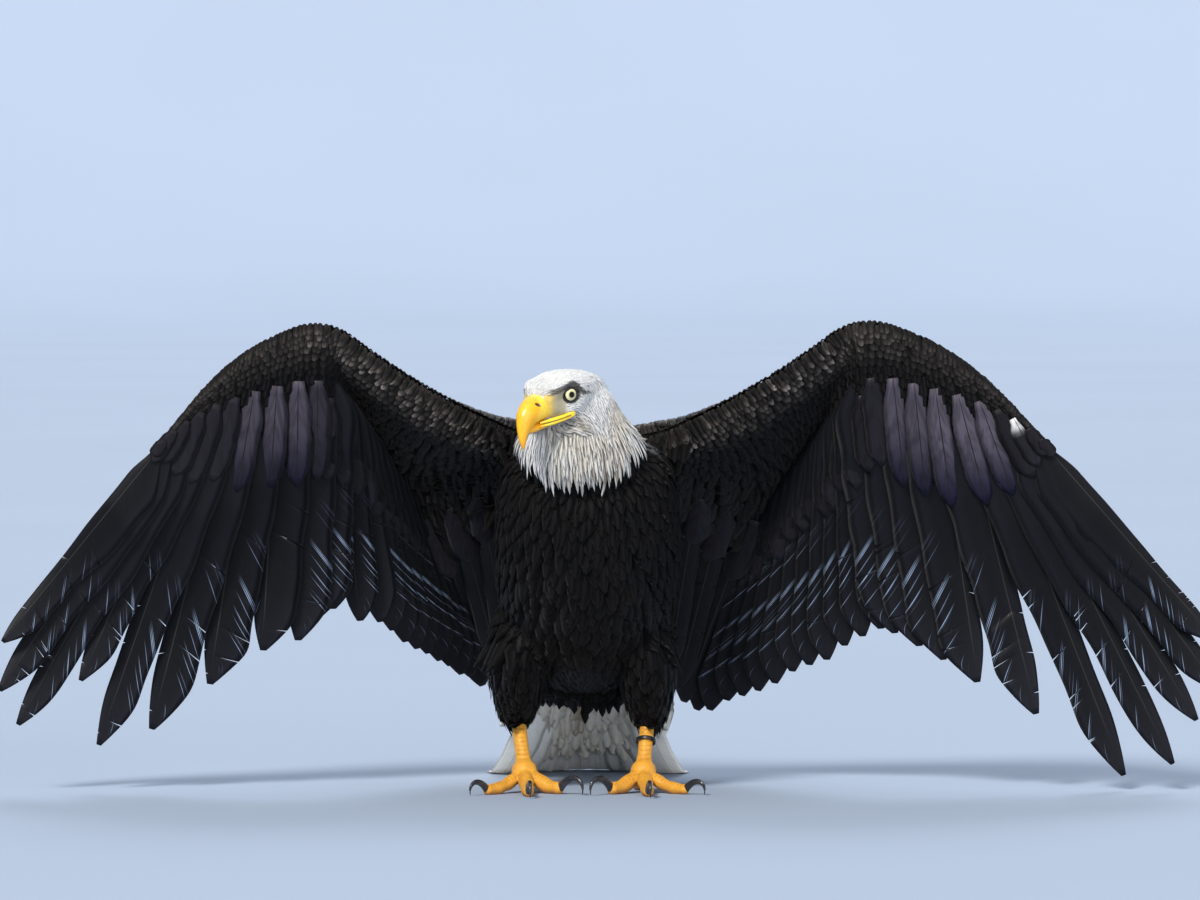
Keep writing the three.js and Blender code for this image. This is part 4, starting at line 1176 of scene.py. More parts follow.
def eye_material():
    """The iris, its dark rim and the pupil follow the eye's own map: how far a point is from the eye's pole."""
    n = Nodes("eye_gloss")
    uv = n.add("ShaderNodeUVMap", uv_map="gaze").outputs[0]
    split = n.add("ShaderNodeSeparateXYZ")
    n.link(uv, split.inputs[0])
    off = split.outputs[1]
    rays = n.add("ShaderNodeTexNoise")
    stretch = n.add("ShaderNodeMapping")
    stretch.inputs["Scale"].default_value = (46.0, 4.0, 1.0)
    n.link(uv, stretch.inputs["Vector"])
    n.link(stretch.outputs[0], rays.inputs["Vector"])
    rays.inputs["Scale"].default_value = 1.0
    iris = n.mix(n.ramp(rays.outputs["Fac"], 0.35, 0.68), (0.84, 0.77, 0.45, 1), (0.55, 0.47, 0.22, 1))
    iris = n.mix(n.ramp(off, 0.44, 0.66, 0.75, 0.0), iris, (0.20, 0.17, 0.10, 1))
    iris = n.mix(n.ramp(off, 0.92, 1.03), iris, (0.006, 0.005, 0.004, 1))
    iris = n.mix(n.ramp(off, 0.40, 0.46, 1.0, 0.0), iris, (0.003, 0.003, 0.003, 1))
    n.link(iris, n.shader.inputs["Base Color"])
    n.set(Roughness=0.1, Coat_Weight=0.3, Coat_Roughness=0.02)
    n.shader.inputs["Specular IOR Level"].default_value = 0.25
    return n.material


def lid_material():
    n = Nodes("eye_lid")
    base = n.mix(n.noise(500, 3), (0.008, 0.007, 0.006, 1), (0.03, 0.024, 0.018, 1))
    n.link(base, n.shader.inputs["Base Color"])
    n.link(n.ramp(n.noise(300, 2), 0.3, 0.7, 0.35, 0.6), n.shader.inputs["Roughness"])
    n.bump(n.voronoi(1500), 0.4, 0.0005)
    return n.material


def floor_material(colour):
    n = Nodes("pale_floor")
    base = n.mix(n.ramp(n.noise(0.6, 2), 0.3, 0.7, 0.0, 0.05), (*colour, 1), (0.5, 0.5, 0.5, 1), "MULTIPLY")
    n.link(base, n.shader.inputs["Base Color"])
    n.set(Roughness=0.95)
    n.shader.inputs["Specular IOR Level"].default_value = 0.1
    return n.material


MATERIALS = {}


def materials():
    if not MATERIALS:
        MATERIALS.update(
            skin=skin_material(),
            white=feather_material("white_plumage", 10, 4, 0.7, 0.05, 0.05, (0.78, 0.74, 0.67, 1), 0.15, 0.0, 0.06, 0.1,
                                   0.35),
            dark=feather_material("dark_plumage", 14, 6, 0.55, 0.015, 0.06, (0.008, 0.006, 0.005, 1), 0.5, 0.0, 0.3,
                                  0.09),
            coverts=feather_material("wing_coverts", 16, 7, 0.48, 0.015, 0.05, (0.012, 0.010, 0.009, 1), 0.5, 0.0,
                                     0.3, 0.12),
            flight=feather_material("flight_vanes", 230, 24, 0.42, 0.02, 0.035, (0.022, 0.02, 0.02, 1), 0.22, 0.03,
                                    0.14, 0.13, slits=0.8),
            tail=feather_material("tail_vanes", 170, 12, 0.62, 0.05, 0.03, (0.66, 0.55, 0.38, 1), 0.15, 0.0, 0.06,
                                  0.1, 0.35),
            bill=bill_material(),
            foot=foot_material(),
            claw=claw_material(),
            band=band_material(),
            eye=eye_material(),
            lid=lid_material(),
        )
    return MATERIALS


# ---------------------------------------------------------------------------------------------------------
# Coat pieces on head, neck, trunk, thighs and tail
# ---------------------------------------------------------------------------------------------------------
BODY = {}


def body_map():
    """The skin's tree for finding the nearest place on it, and the roots that grow there."""
    if not BODY:
        o = bpy.data.objects["skin"]
        points = bird_points(o)
        o.data.calc_loop_triangles()
        triangles = np.empty(len(o.data.loop_triangles) * 3, np.int32)
        o.data.loop_triangles.foreach_get("vertices", triangles)
        triangles = triangles.reshape(-1, 3)
        BODY["tree"] = BVHTree.FromPolygons(points.tolist(), triangles.tolist())
        BODY["roots"], BODY["kind"] = scatter_roots(points, triangles)
    return BODY["tree"], BODY["roots"], BODY["kind"]


def white_tints(roots, amount):
    """How much grey-brown each white feather carries."""
    patches = np.clip(cloud(roots, 17) * 1.6 + 0.1, 0, 1)
    each = rng.random(len(roots)) ** 3
    return np.clip(amount * (0.7 * patches + 0.6 * each), 0, 1)


def build_head_coat():
    tree, roots, kind = body_map()
    p = head_place(roots)
    dark, lore = face_marks(p)
    keep = (kind == 0) & ~((p[:, 0] > 27) & (np.abs(p[:, 1]) < 15) & (p[:, 2] < 4))
    keep &= rng.random(len(roots)) > lore * 1.6
    roots, kind, p, dark, lore = roots[keep], kind[keep], p[keep], dark[keep], lore[keep]
    spine, out, sizes, _ = lay_feathers(tree, roots, kind, SMALL)
    clear = np.ones(len(roots), bool)
    for _, side in SIDES:
        angle, far, up = round_eye(spine, side)
        clear &= ~((angle < 50 - 8 * np.clip(up, 0, 1)) & (far < 18)).any(axis=1)
    for level in (1, -1):
        for _, side in SIDES:
            line = np.array([lip_line(side, level, t) for t in np.linspace(0, 1, 12)])
            gap = np.linalg.norm(spine[:, :, None] - line[None, None], axis=3).min(axis=2)
            clear &= (gap > 2.4).all(axis=1)
    roots, kind, p, dark, lore = roots[clear], kind[clear], p[clear], dark[clear], lore[clear]
    spine, out, sizes = spine[clear], out[clear], sizes[clear]
    low = smooth(-p[:, 2], -4, 26) * smooth(-p[:, 0], -12, 20)
    grey = white_tints(roots, 0.75) * low
    base = mix(WHITE[None], STREAK[None], grey[:, None] * 0.75)
    # painted shadow under the bill: the chin's feathers go dark brown-grey, each by a random amount
    chin = smooth(-p[:, 2], 22, 27) * smooth(p[:, 0], -22, -4)
    base = mix(base, CHIN_SHADOW[None], (chin * rng.uniform(0.35, 0.9, len(roots)))[:, None])
    colour = tinted(base, base * 1.0, len(roots), SMALL[0], 3, 0.05)
    shades = face_colours(colour.transpose(2, 0, 1, 3), np.broadcast_to(spine, (3, *spine.shape)))
    colour = shades.transpose(1, 2, 0, 3)
    pile = Plumage()
    place = round_place(roots, HEAD_MIDDLE, FORWARD, -75, 35, LEFT)
    plume(pile, spine, out, sizes[:, 1], SMALL, colour, place, thick=0.22, cup=0.1, ragged=0.14)
    return pile.make("coat_head")


def build_neck_coat():
    tree, roots, kind = body_map()
    keep = kind == 1
    roots, kind = roots[keep], kind[keep]
    spine, out, sizes, _ = lay_feathers(tree, roots, kind, LANCE)
    front = 1 - smooth(roots[:, 1], -95, -50)
    shaded = smooth(roots[:, 0], -40, 40)
    grey = white_tints(roots, 0.9) * mix(0.35, 1.0, front) * mix(0.5, 1.15, shaded)
    base = mix(WHITE[None], STREAK[None], np.clip(grey, 0, 1)[:, None] * 0.7)
    beige = front * smooth(roots[:, 0], -62, -30) * (1 - smooth(roots[:, 0], 28, 48)) * rng.uniform(0.4, 1.0, len(roots))
    base = base * mix(np.ones(3), vec((0.82, 0.73, 0.58)), beige[:, None])
    tips = spine[:, -1]
    rusty = front * smooth(tips[:, 0], -12, 6) * (1 - smooth(tips[:, 0], 34, 50)) * (1 - smooth(tips[:, 2], 366, 392))
    rusty = rusty * (rng.random(len(roots)) < 0.24)
    base = mix(base, RUSTY[None], rusty[:, None] * 0.5)
    ends = mix(mix(base, WHITE[None], 0.35), RUSTY[None], rusty[:, None] * 0.8)
    colour = tinted(base, ends, len(roots), LANCE[0], 3, 0.05, tip=0.45)
    pile = Plumage()
    place = round_place(roots, NECK_BASE, NECK_AXIS, 0, 130, ACROSS)
    plume(pile, spine, out, sizes[:, 1], LANCE, colour, place, thick=0.3, cup=0.12, ragged=0.16)
    return pile.make("coat_neck")


def build_trunk_coat():
    tree, roots, kind = body_map()
    keep = kind == 2
    roots, kind = roots[keep], kind[keep]
    spine, out, sizes, _ = lay_feathers(tree, roots, kind, OVAL)
    back = smooth(roots[:, 1] - (0.7 * (396 - roots[:, 2]) - 72), 0, 40)
    edge = mix(DARK_EDGE[None] * 0.7, DARK_EDGE[None] * 1.3, back[:, None])
    colour = tinted(DARK, edge, len(roots), OVAL[0], 3, 0.18)
    pile = Plumage()
    place = round_place(roots, (0, -72, 396), (0, 0.57, -0.82), 0, 340, ACROSS)
    plume(pile, spine, out, sizes[:, 1], OVAL, colour, place, thick=0.4, cup=0.14, ragged=0.14)
    return pile.make("coat_trunk")


def build_thigh_coat():
    tree, roots, kind = body_map()
    made = []
    for name, side in SIDES:
        keep = (kind == 3) & ((roots[:, 0] > -6) if side > 0 else (roots[:, 0] <= -6))
        own, own_kind = roots[keep], kind[keep]
        spine, out, sizes, _ = lay_feathers(tree, own, own_kind, OVAL)
        colour = tinted(DARK, DARK_EDGE * 0.9, len(own), OVAL[0], 3, 0.18)
        pile = Plumage()
        place = round_place(own, HIP[name], (0, 0, -1), -20, 160, ACROSS)
        plume(pile, spine, out, sizes[:, 1], OVAL, colour, place, thick=0.35, cup=0.14, ragged=0.16)
        made.append(pile.make("coat_thigh_" + name))
    return made


def build_tail_coat():
    tree, roots, kind = body_map()
    keep = (kind == 4) & ((roots - TAIL_FOOT) @ TAIL_WAY < 104)
    roots, kind = roots[keep], kind[keep]
    spine, out, sizes, _ = lay_feathers(tree, roots, kind, OVAL)
    under = under_tail(roots)
    run = math.sqrt(TAIL["length"] ** 2 - TAIL["base"][2] ** 2)
    quills = np.array([[tail_height((y - TAIL["base"][1]) / run) for y in row] for row in spine[:, :, 1]])
    quills = quills - 2.6 - rng.uniform(0, 2.2, (len(roots), 1)) * OVAL[0][None]
    lies = np.where((under > 0.3)[:, None] & (spine[:, :, 1] > 150), np.minimum(spine[:, :, 2], quills), spine[:, :, 2])
    spine[:, :, 2] = np.maximum(lies, 1.0)
    past = np.maximum(spine[:, :, 0] - 96, 0)
    spine[:, :, 0] -= 0.75 * past
    fits = (spine[:, -1] - spine[:, 0]) @ TAIL_WAY > 0.5 * sizes[:, 0]
    fits &= np.ptp(spine[:, :, 0], axis=1) < 16
    roots, spine, out, sizes, under = roots[fits], spine[fits], out[fits], sizes[fits], under[fits]
    middle = np.exp(-((spine[:, 3, 0] + 14) / 17) ** 2) * under
    cream = mix(WHITE[None], vec((0.95, 0.84, 0.64))[None], under[:, None] * 0.9)
    base = mix(cream, STAIN[None], (0.85 * middle * rng.random(len(roots)))[:, None])
    colour = tinted(base, base * 1.02, len(roots), OVAL[0], 3, 0.05)
    pile = Plumage()
    place = round_place(roots, TAIL_FOOT, TAIL_WAY, 0, 150, ACROSS)
    plume(pile, spine, out, sizes[:, 1], OVAL, colour, place, thick=0.35, cup=0.1, ragged=0.12)
    return pile.make("coat_tail")


# ---------------------------------------------------------------------------------------------------------
# Wing coverts
# ---------------------------------------------------------------------------------------------------------
# The greater coverts under each hand that carry a painted sheen lie between these distances across the bird.
SHEEN_SPAN = {"left": (338, 478), "right": (-396, -312)}
WHITE_SPOT = (489, 422)  # the white base of one covert at the left hand's edge: across, and height


def covert_rows(name, face_side):
    """Rows of small coverts from the leading edge back: s, distance, length and half width of each."""
    sheet = SHEETS[name]
    s_grid = np.linspace(-0.97, 1.1, 400)
    feathers = []
    d, row = -3.0, 0
    while d < 330:
        length = min(14 + 0.23 * max(d, 0), 60)
        half = min(4.4 + 0.055 * max(d, 0), 13)
        total = np.interp(s_grid, sheet.S, sheet.total)
        middle, _, _, _ = sheet.at(s_grid, np.full(len(s_grid), max(d, 0.0)))
        way = np.concatenate(([0], np.cumsum(np.linalg.norm(np.diff(middle, axis=0), axis=1))))
        number = int(way[-1] / (1.35 * half))
        at = (np.arange(number) + 0.5 * (row % 2)) / number
        at = at + rng.normal(0, 0.12 / number, number)
        s = np.interp(at * way[-1], way, s_grid)
        room = np.interp(s, s_grid, total)
        for k in range(number):
            hand = smooth(-s[k], 0.0, 0.2) * (1 - smooth(-s[k], 0.6, 1.0)) if face_side > 0 else 0
            fits = d + 0.74 * length < room[k] * (0.93 - 0.16 * hand)
            if fits:
                feathers.append((s[k], d, length, half))
        d += 0.40 * length
        row += 1
    return np.array(feathers)


def lay_coverts(name, face_side, table, shape, stand=0.0, bend=0.0):
    """Spines of coverts along the wing's own surface. face_side is 1 under the wing and -1 above it."""
    sheet = SHEETS[name]
    n = len(table)
    s, d, length = table[:, 0], table[:, 1], table[:, 2] * rng.uniform(0.9, 1.08, n)
    rows = shape[0]
    drift = rng.normal(0, 0.008, n)
    spread = np.maximum(d, -2.5)[:, None] + length[:, None] * rows[None]
    place = s[:, None] + drift[:, None] * rows[None]
    middle, face, half, total = sheet.at(place, np.maximum(spread, 0))
    early = np.minimum(spread, 0)
    middle = middle + np.array((0, 0, 1.0)) * 0 - early[..., None] * UP * 0.8
    depth = np.clip(0.10 * length, 1.4, 5.5)[:, None]
    height = np.maximum(half, 1.0) - depth * (1 - rows[None] ** 0.9) * np.minimum(half / 7, 1) + 0.5 + stand
    height = height + rng.uniform(-0.3, 0.5, (n, 1)) * rows[None] + bend * rows[None] ** 2
    out = face * face_side
    return middle + out * height[..., None], out


def covert_piece(name, face_side):
    sheet, wing = SHEETS[name], WINGS[name]
    pile = Plumage()
    under = face_side > 0

    def map_place(s, d):
        total = np.interp(s, sheet.S, sheet.total)
        return np.stack((0.01 + 0.97 * (s + 1) / 2.14, 0.01 + 0.95 * np.clip(d / total, 0, 1)), axis=1)

    table = covert_rows(name, face_side)
    spine, out = lay_coverts(name, face_side, table, ROUND)
    early = (1 - smooth(table[:, 1], 8, 36)) * mix(0.35, 1.0, smooth(table[:, 0], -0.3, 0.1))
    # painted glints: the edges of coverts near the leading edge turn pale as if lit, and under the wing each by a
    # random amount
    edge = mix(DARK_EDGE[None] * (0.75 if under else 1.25), LIT_EDGE[None], early[:, None] * 0.9)
    base = mix(DARK[None], DARK_EDGE[None], early[:, None] * 0.45)
    if under:
        glint = rng.lognormal(-0.35, 0.8, len(table))
        edge = mix(edge, edge * np.clip(glint, 0.2, 2.6)[:, None], early[:, None])
    colour = tinted(base, edge, len(table), ROUND[0], 3, 0.16, tip=0.5)
    plume(pile, spine, out, table[:, 3], ROUND, colour, map_place(table[:, 0], table[:, 1]), thick=0.55, cup=0.24)

    # Greater coverts: one for each quill, in an even row whose tips make the coverts' jagged edge.
    rows, wide = np.linspace(0, 1, 12), None
    wide = (0.45 + 0.55 * smooth(rows, 0, 0.3)) * np.sqrt(np.clip(1 - smooth(rows, 0.72, 1.03) ** 1.5, 0, 1))
    wide[-1] = 0.12
    shape = (rows, wide)
    quills = [(-(k + 0.35) / (PRIMARIES - 0.65), True) for k in range(PRIMARIES)]
    quills += [(s, False) for s in secondary_places()]
    table = []
    for s, outer in quills:
        total = float(np.interp(s, sheet.S, sheet.total))
        cover = lie_of_wing(wing, min(s, 1))[2]
        middle = float(smooth(-s, 0.02, 0.2) * (1 - smooth(-s, 0.45, 0.95)))
        extra = (42 if name == "left" else 26) * middle if outer and under else 0
        length = cover * (0.72 if outer and under else 0.62) + extra
        half = (15.5 if outer else 16.5) * (1 - 0.5 * float(smooth(-s, 0.6, 1.0)))
        table.append((s, total + extra - length, length, half))
    table = np.array(sorted(table, key=lambda row: row[0]))
    spine, out = lay_coverts(name, face_side, table, shape, stand=5.4 if under else 2.4)
    plain = GREATER if under else DARK_EDGE
    colour = tinted(plain, plain * 1.2, len(table), rows, 5, 0.16, tip=0.8)
    if under:
        # painted sheen: lit grey-violet near the bases, fading to blue-black at the tips, on the coverts within the
        # span given above, each by a random amount
        low, high = SHEEN_SPAN[name]
        across = spine[:, 5, 0]
        bright = smooth(across, low - 9, low + 9) * (1 - smooth(across, high - 9, high + 9)) * (table[:, 0] < 0.03)
        fade = mix(COVERT_SHEEN[None], COVERT_SHEEN_END[None], smooth(rows, 0.3, 0.95)[:, None])
        bright = bright * rng.uniform(0.55, 1.1, len(table))
        colour = mix(colour, fade[None, :, None], bright[:, None, None, None])
    if under and name == "left":
        spot = np.hypot(spine[:, 2, 0] - WHITE_SPOT[0], spine[:, 2, 2] - WHITE_SPOT[1]).argmin()
        colour[spot] = mix(colour[spot], WHITE * 0.7, (1 - smooth(rows, 0.2, 0.3))[:, None, None])
    plume(pile, spine, out, table[:, 3], shape, colour, map_place(table[:, 0], table[:, 1]), thick=0.7, cup=0.16,
          ragged=0.03, columns=5)
    return pile.make(("coat_underwing_" if under else "coat_overwing_") + name)


# ---------------------------------------------------------------------------------------------------------
# Flight and tail feathers
# ---------------------------------------------------------------------------------------------------------
def secondary_places():
    flights = SECONDARIES - TERTIALS
    return [ELBOW_AT * (k + 0.3) / flights if k < flights else mix(ELBOW_AT, 1, (k - flights + 0.7) / TERTIALS)
            for k in range(SECONDARIES)]


def split_rows(count, splits):
    """Rows along a vane, with three close together at each place where its barbs part."""
    rows = list(np.linspace(0, 1, count) ** 0.9)
    for v, _, _ in splits:
        rows += [v - 0.0017, v, v + 0.0017]
    return np.array(sorted(set(np.clip(rows, 0, 1).tolist())))


def long_feather(pile, at, face, length, lead, trail, colour, edge, cell, roll=0.0, splits=6, thick=(3.0, 0.8), cup=0.10,
                 first=0.06):
    """One flight feather: a shaft with a narrow leading and a broad trailing vane, whose barbs part in places.
    at(v) gives its middle, and face the way its underside looks; cell is its strip of the map."""
    tears = [(float(rng.uniform(0.45, 0.97)), int(rng.integers(0, 2)), float(rng.uniform(0.25, 0.75))) for _ in
             range(splits)]
    rows = split_rows(46, tears)
    v = first + (1 - first) * rows
    spine = np.array([at(x) for x in v])
    along = unit(np.gradient(spine, axis=0))
    face = np.broadcast_to(vec(face), spine.shape)
    side = unit(np.cross(along, face))
    out = unit(face * math.cos(roll) + side * math.sin(roll))
    wobble = 1 + 0.025 * np.sin(rows * rng.uniform(20, 34) + rng.uniform(0, 6))
    left, right = trail(v) * wobble, lead(v) * wobble
    for centre, which, depth in tears:
        notch = np.abs(rows - centre) < 0.0008
        bend = depth * smooth(centre, 0.25, 0.6)
        if which:
            left = np.where(notch, left * (1 - bend), left)
        else:
            right = np.where(notch, right * (1 - 0.8 * bend), right)
    n = len(rows)
    depth = mix(thick[0], thick[1], v)
    columns = 9
    x = np.linspace(-1, 1, columns)
    share = np.clip(0.55 * smooth(np.abs(x), 0.4, 1.0)[None] + 0.45 * smooth(v, 0.75, 1)[:, None], 0, 1)
    shades = mix(vec(colour)[None, None], vec(edge)[None, None], share[..., None])
    before = pile.count
    pile.add(spine[None], out[None], left[None], right[None], depth[None], np.array([cup]), shades[None],
             np.zeros((1, 2)), columns=columns, sweep=0.5 * (1 - smooth(v, 0.74, 0.99)))
    size = 2 * columns - 2
    u = np.concatenate((x, x[-2:0:-1] * 0.999)) * 0.5 + 0.5
    back = np.concatenate((np.zeros(columns), np.ones(columns - 2)))
    strip = np.stack(np.broadcast_arrays(cell[0] + cell[1] * (0.04 + 0.42 * u + 0.48 * back)[None],
                                         (0.01 + 0.98 * rows)[:, None]), axis=-1).reshape(-1, 2)
    pile.place[-1] = strip
    broad = u if right[n // 2] > left[n // 2] else 1 - u
    pile.vane[-1] = np.stack(np.broadcast_arrays(broad[None], rows[:, None]), axis=-1).reshape(-1, 2)
    assert pile.count - before == n * size


def vane_base(v):
    """The bare quill at a flight feather's root."""
    return mix(0.16, 1.0, smooth(v, 0.04, 0.20))


def vane_width(v, full, slim):
    full = full * vane_base(v)
    notch = smooth(v, 0.42, 0.68)
    tip = np.sqrt(np.clip(1 - smooth(v, 0.80, 1.012) ** 1.6, 0.0004, 1))
    return full * mix(1, slim, notch) * tip


def quill(wing, s, length):
    root, fall = bone_line(wing, s), fall_of_feathers(wing, s)
    face = underside(unit(fall))

    def at(v):
        return root + fall * (length * v) - face * QUILL["bow"] * math.sin(math.pi * max(0, v - 0.35) / 0.65)

    return at, face


def build_primaries(name):
    wing = WINGS[name]
    pile = Plumage()
    for k, length in enumerate(wing["primaries"]):
        at, face = quill(wing, -(k + 0.35) / (PRIMARIES - 0.65), length)
        fingered = float(smooth(k, 3, 6))
        slim = mix(0.95, QUILL["slim"], fingered)
        lead_full = 9 if k == PRIMARIES - 1 else QUILL["lead"]

        def lead(v, full=lead_full, f=fingered):
            return vane_width(v, full, mix(0.9, 0.8, f)) + 0.6

        def trail(v, f=fingered, sl=slim):
            return vane_width(v, QUILL["trail"] + 7 * (1 - v) + 9 * (1 - f), sl) + 0.6

        tone = rng.uniform(0.8, 1.25)
        long_feather(pile, at, face, length, trail if wing["side"] > 0 else lead, lead if wing["side"] > 0 else trail,
                     FLIGHT * tone, FLIGHT_SHEEN * tone, (k / 10, 0.1), roll=-wing["side"] * math.radians(4.5),
                     splits=5 + k // 2)
    return pile.make("primary_quills_" + name)


def build_secondaries(name):
    wing = WINGS[name]
    pile = Plumage()
    flights = SECONDARIES - TERTIALS
    first, last = wing["secondaries"]
    for k, s in enumerate(secondary_places()):
        length = mix(first, last, k / flights) if k < flights else mix(last, 0.78 * last, (k - flights + 1) / TERTIALS)
        at, face = quill(wing, s, length * rng.uniform(0.985, 1.012))

        def end(v):
            return np.sqrt(np.clip(1 - smooth(v, 0.86, 1.012) ** 1.5, 0.0004, 1))

        def lead(v):
            return 14 * end(v) * vane_base(v) + 0.5

        def trail(v):
            return 25 * end(v) * vane_base(v) + 0.5

        tone = rng.uniform(0.85, 1.2)
        long_feather(pile, at, face, length, trail if wing["side"] > 0 else lead, lead if wing["side"] > 0 else trail,
                     FLIGHT * tone, FLIGHT_SHEEN * 0.8 * tone, (k / 16, 1 / 16),
                     roll=-wing["side"] * math.radians(5), splits=2, cup=0.08)
    return pile.make("secondary_quills_" + name)


def tail_height(v):
    fall = min(max(1 - v / TAIL["settle"], 0), 1)
    return TAIL["base"][2] * fall**1.25


def build_tail():
    pile = Plumage()
    reach = math.sqrt(TAIL["length"] ** 2 - TAIL["base"][2] ** 2)
    count = TAIL["feathers"]
    for k in range(count):
        across = 1 - 2 * k / (count - 1)
        turn = math.radians(TAIL["spread"] * across)
        length = reach * (1 - 0.1 * across**2) * rng.uniform(0.985, 1.005)
        root = vec((TAIL["base_half"] * across, TAIL["base"][1], 0))
        run = vec((math.sin(turn), math.cos(turn), 0))
        layer = 1.0 + 0.45 * (count / 2 - abs(k - 0.48 * count + 0.3))

        def at(v, root=root, run=run, length=length, layer=layer, across=across):
            p = root + run * (length * v)
            p[2] = tail_height(v) + layer - 5 * across**2 * (1 - v) * v
            return p

        def end(v):
            return np.sqrt(np.clip(1 - smooth(v, 0.88, 1.012) ** 1.7, 0.0004, 1))

        def narrow(v):
            return TAIL["vane"] * 0.72 * end(v) + 0.5

        def broad(v):
            return TAIL["vane"] * 1.1 * end(v) + 0.5

        outwards = 1 if across > 0 else -1
        tone = rng.uniform(0.94, 1.0)
        long_feather(pile, at, (0, -0.35, -1), length, narrow if outwards < 0 else broad,
                     broad if outwards < 0 else narrow, WHITE * (1, 0.97, 0.90) * tone, WHITE * (0.88, 0.80, 0.66) * tone,
                     (k / 12, 1 / 12), roll=math.radians(1.2) * outwards, splits=2, thick=(2.2, 0.7), cup=0.015,
                     first=0.02)
    for block in pile.points:
        block[:, 2] = np.maximum(block[:, 2], 0.05)
    return pile.make("tail_quills")


# ---------------------------------------------------------------------------------------------------------
# Bill and eyes
# ---------------------------------------------------------------------------------------------------------
def lip_line(side, level, t):
    """The gape's edge, from the side of the bill back over the cheek to its corner under the eye."""
    lift = level * 2.0 * (1 - 0.45 * t) * (1 - 0.8 * float(smooth(t, 0.86, 1.0)))
    return bezier((head_point(MOUTH[0], side * MOUTH[1], MOUTH[2] + lift), head_point(15, side * 23, -25.5 + lift),
                   head_point(GAPE[0], side * GAPE[1], GAPE[2] + lift)), t)


def lip(side, level):
    def thick(t):
        end = math.sqrt(max(1 - (max(t - 0.92, 0) / 0.082) ** 2, 0.04))
        return (1.1 + 1.3 * float(smooth(t, 0.0, 0.3))) * (1 - 0.14 * t) * end

    return taper(lambda t: lip_line(side, level, t), 56, 16, thick)


NOSTRIL = (42, 10.5, -3.5)


def nostril(p):
    """How far points of the bill are from the middle of the slanting nostril: 1 is its edge."""
    f, u = p[:, 0] - NOSTRIL[0], p[:, 2] - NOSTRIL[2]
    return ((f * 0.84 + u * 0.54) / 3.8) ** 2 + ((u * 0.84 - f * 0.54) / 1.7) ** 2


def bill_colours(points, upper):
    p = head_place(points)
    cere = (1 - smooth(p[:, 0] + 0.35 * p[:, 2], 36, 42)) if upper else (1 - smooth(p[:, 0], 14, 26))
    colour = mix(BILL[None], CERE[None], cere[:, None])
    tip = smooth(-p[:, 2], 30, 50)
    colour = mix(colour, BILL[None] * (1.0, 0.82, 0.7), tip[:, None] * 0.6)
    line = head_place(np.array([lip_line(1, 0, t) for t in np.linspace(0, 1, 40)]))
    gap = np.linalg.norm(np.abs(p)[:, None] * (1, 1, 1) - np.abs(line)[None], axis=2)
    nearest = gap.argmin(axis=1)
    gape = (gap.min(axis=1) < 5) & (p[:, 0] < 36)
    colour[gape] = vec((0.93, 0.64, 0.03))
    seam = (1 - smooth(np.abs(p[:, 2] - line[nearest, 2]), 0.25, 0.9)) * gape * (1 - smooth(nearest / 39, 0.8, 0.93))
    colour = mix(colour, vec((0.10, 0.045, 0.012))[None], seam[:, None])
    if upper:
        # painted shade: the nostril's opening is painted near black, for the shade inside it
        hole = nostril(p)
        colour = mix(colour, vec((0.03, 0.014, 0.008))[None], ((1 - smooth(hole, 0.6, 1.25)) * (np.abs(p[:, 1]) > 4))[:, None])
    return colour


def build_bill():
    last = len(UPPER_BILL) - 1
    rings = []
    for at in np.linspace(0, last, 90):
        f, u, deep, half = smooth_row(UPPER_BILL, at)
        a, b = smooth_row(UPPER_BILL, min(at + 0.15, last)), smooth_row(UPPER_BILL, max(at - 0.15, 0))
        run = unit((a[0] - b[0], a[1] - b[1]))
        over = FORWARD * -run[1] + CROWN * run[0]
        hook = float(smooth(at, 3.5, 6))
        swell = 0.7 * float(smooth(f, 22, 27) * (1 - smooth(f, 34, 41)))
        rings.append(oval(head_point(f, 0, u), LEFT, over, half + swell, deep + swell, deep, 64, mix(0.96, 1.0, hook),
                          mix(0.66, 1.0, hook)))
    points, faces = loft(rings)
    p = head_place(points)
    hole = 1 - smooth(nostril(p), 0.1, 1.3)
    p[:, 1] -= np.sign(p[:, 1]) * 2.2 * hole * (np.abs(p[:, 1]) > 4)
    points = p @ HEAD_FRAME + vec(HEAD_MIDDLE)
    upper = mesh_piece("upper_bill", *joined([(points, faces), lip(1, 1), lip(-1, 1)]))
    paint(upper, bill_colours(bird_points(upper), True))
    rings = []
    for at in np.linspace(0, len(LOWER_BILL) - 1, 48):
        f, u, deep, half = smooth_row(LOWER_BILL, at)
        rings.append(oval(head_point(f, 0, u), LEFT, CROWN, half, deep * 0.9, deep, 40, 0.9))
    lower = mesh_piece("lower_bill", *joined([loft(rings), lip(1, -1), lip(-1, -1)]))
    paint(lower, bill_colours(bird_points(lower), False))
    return upper, lower


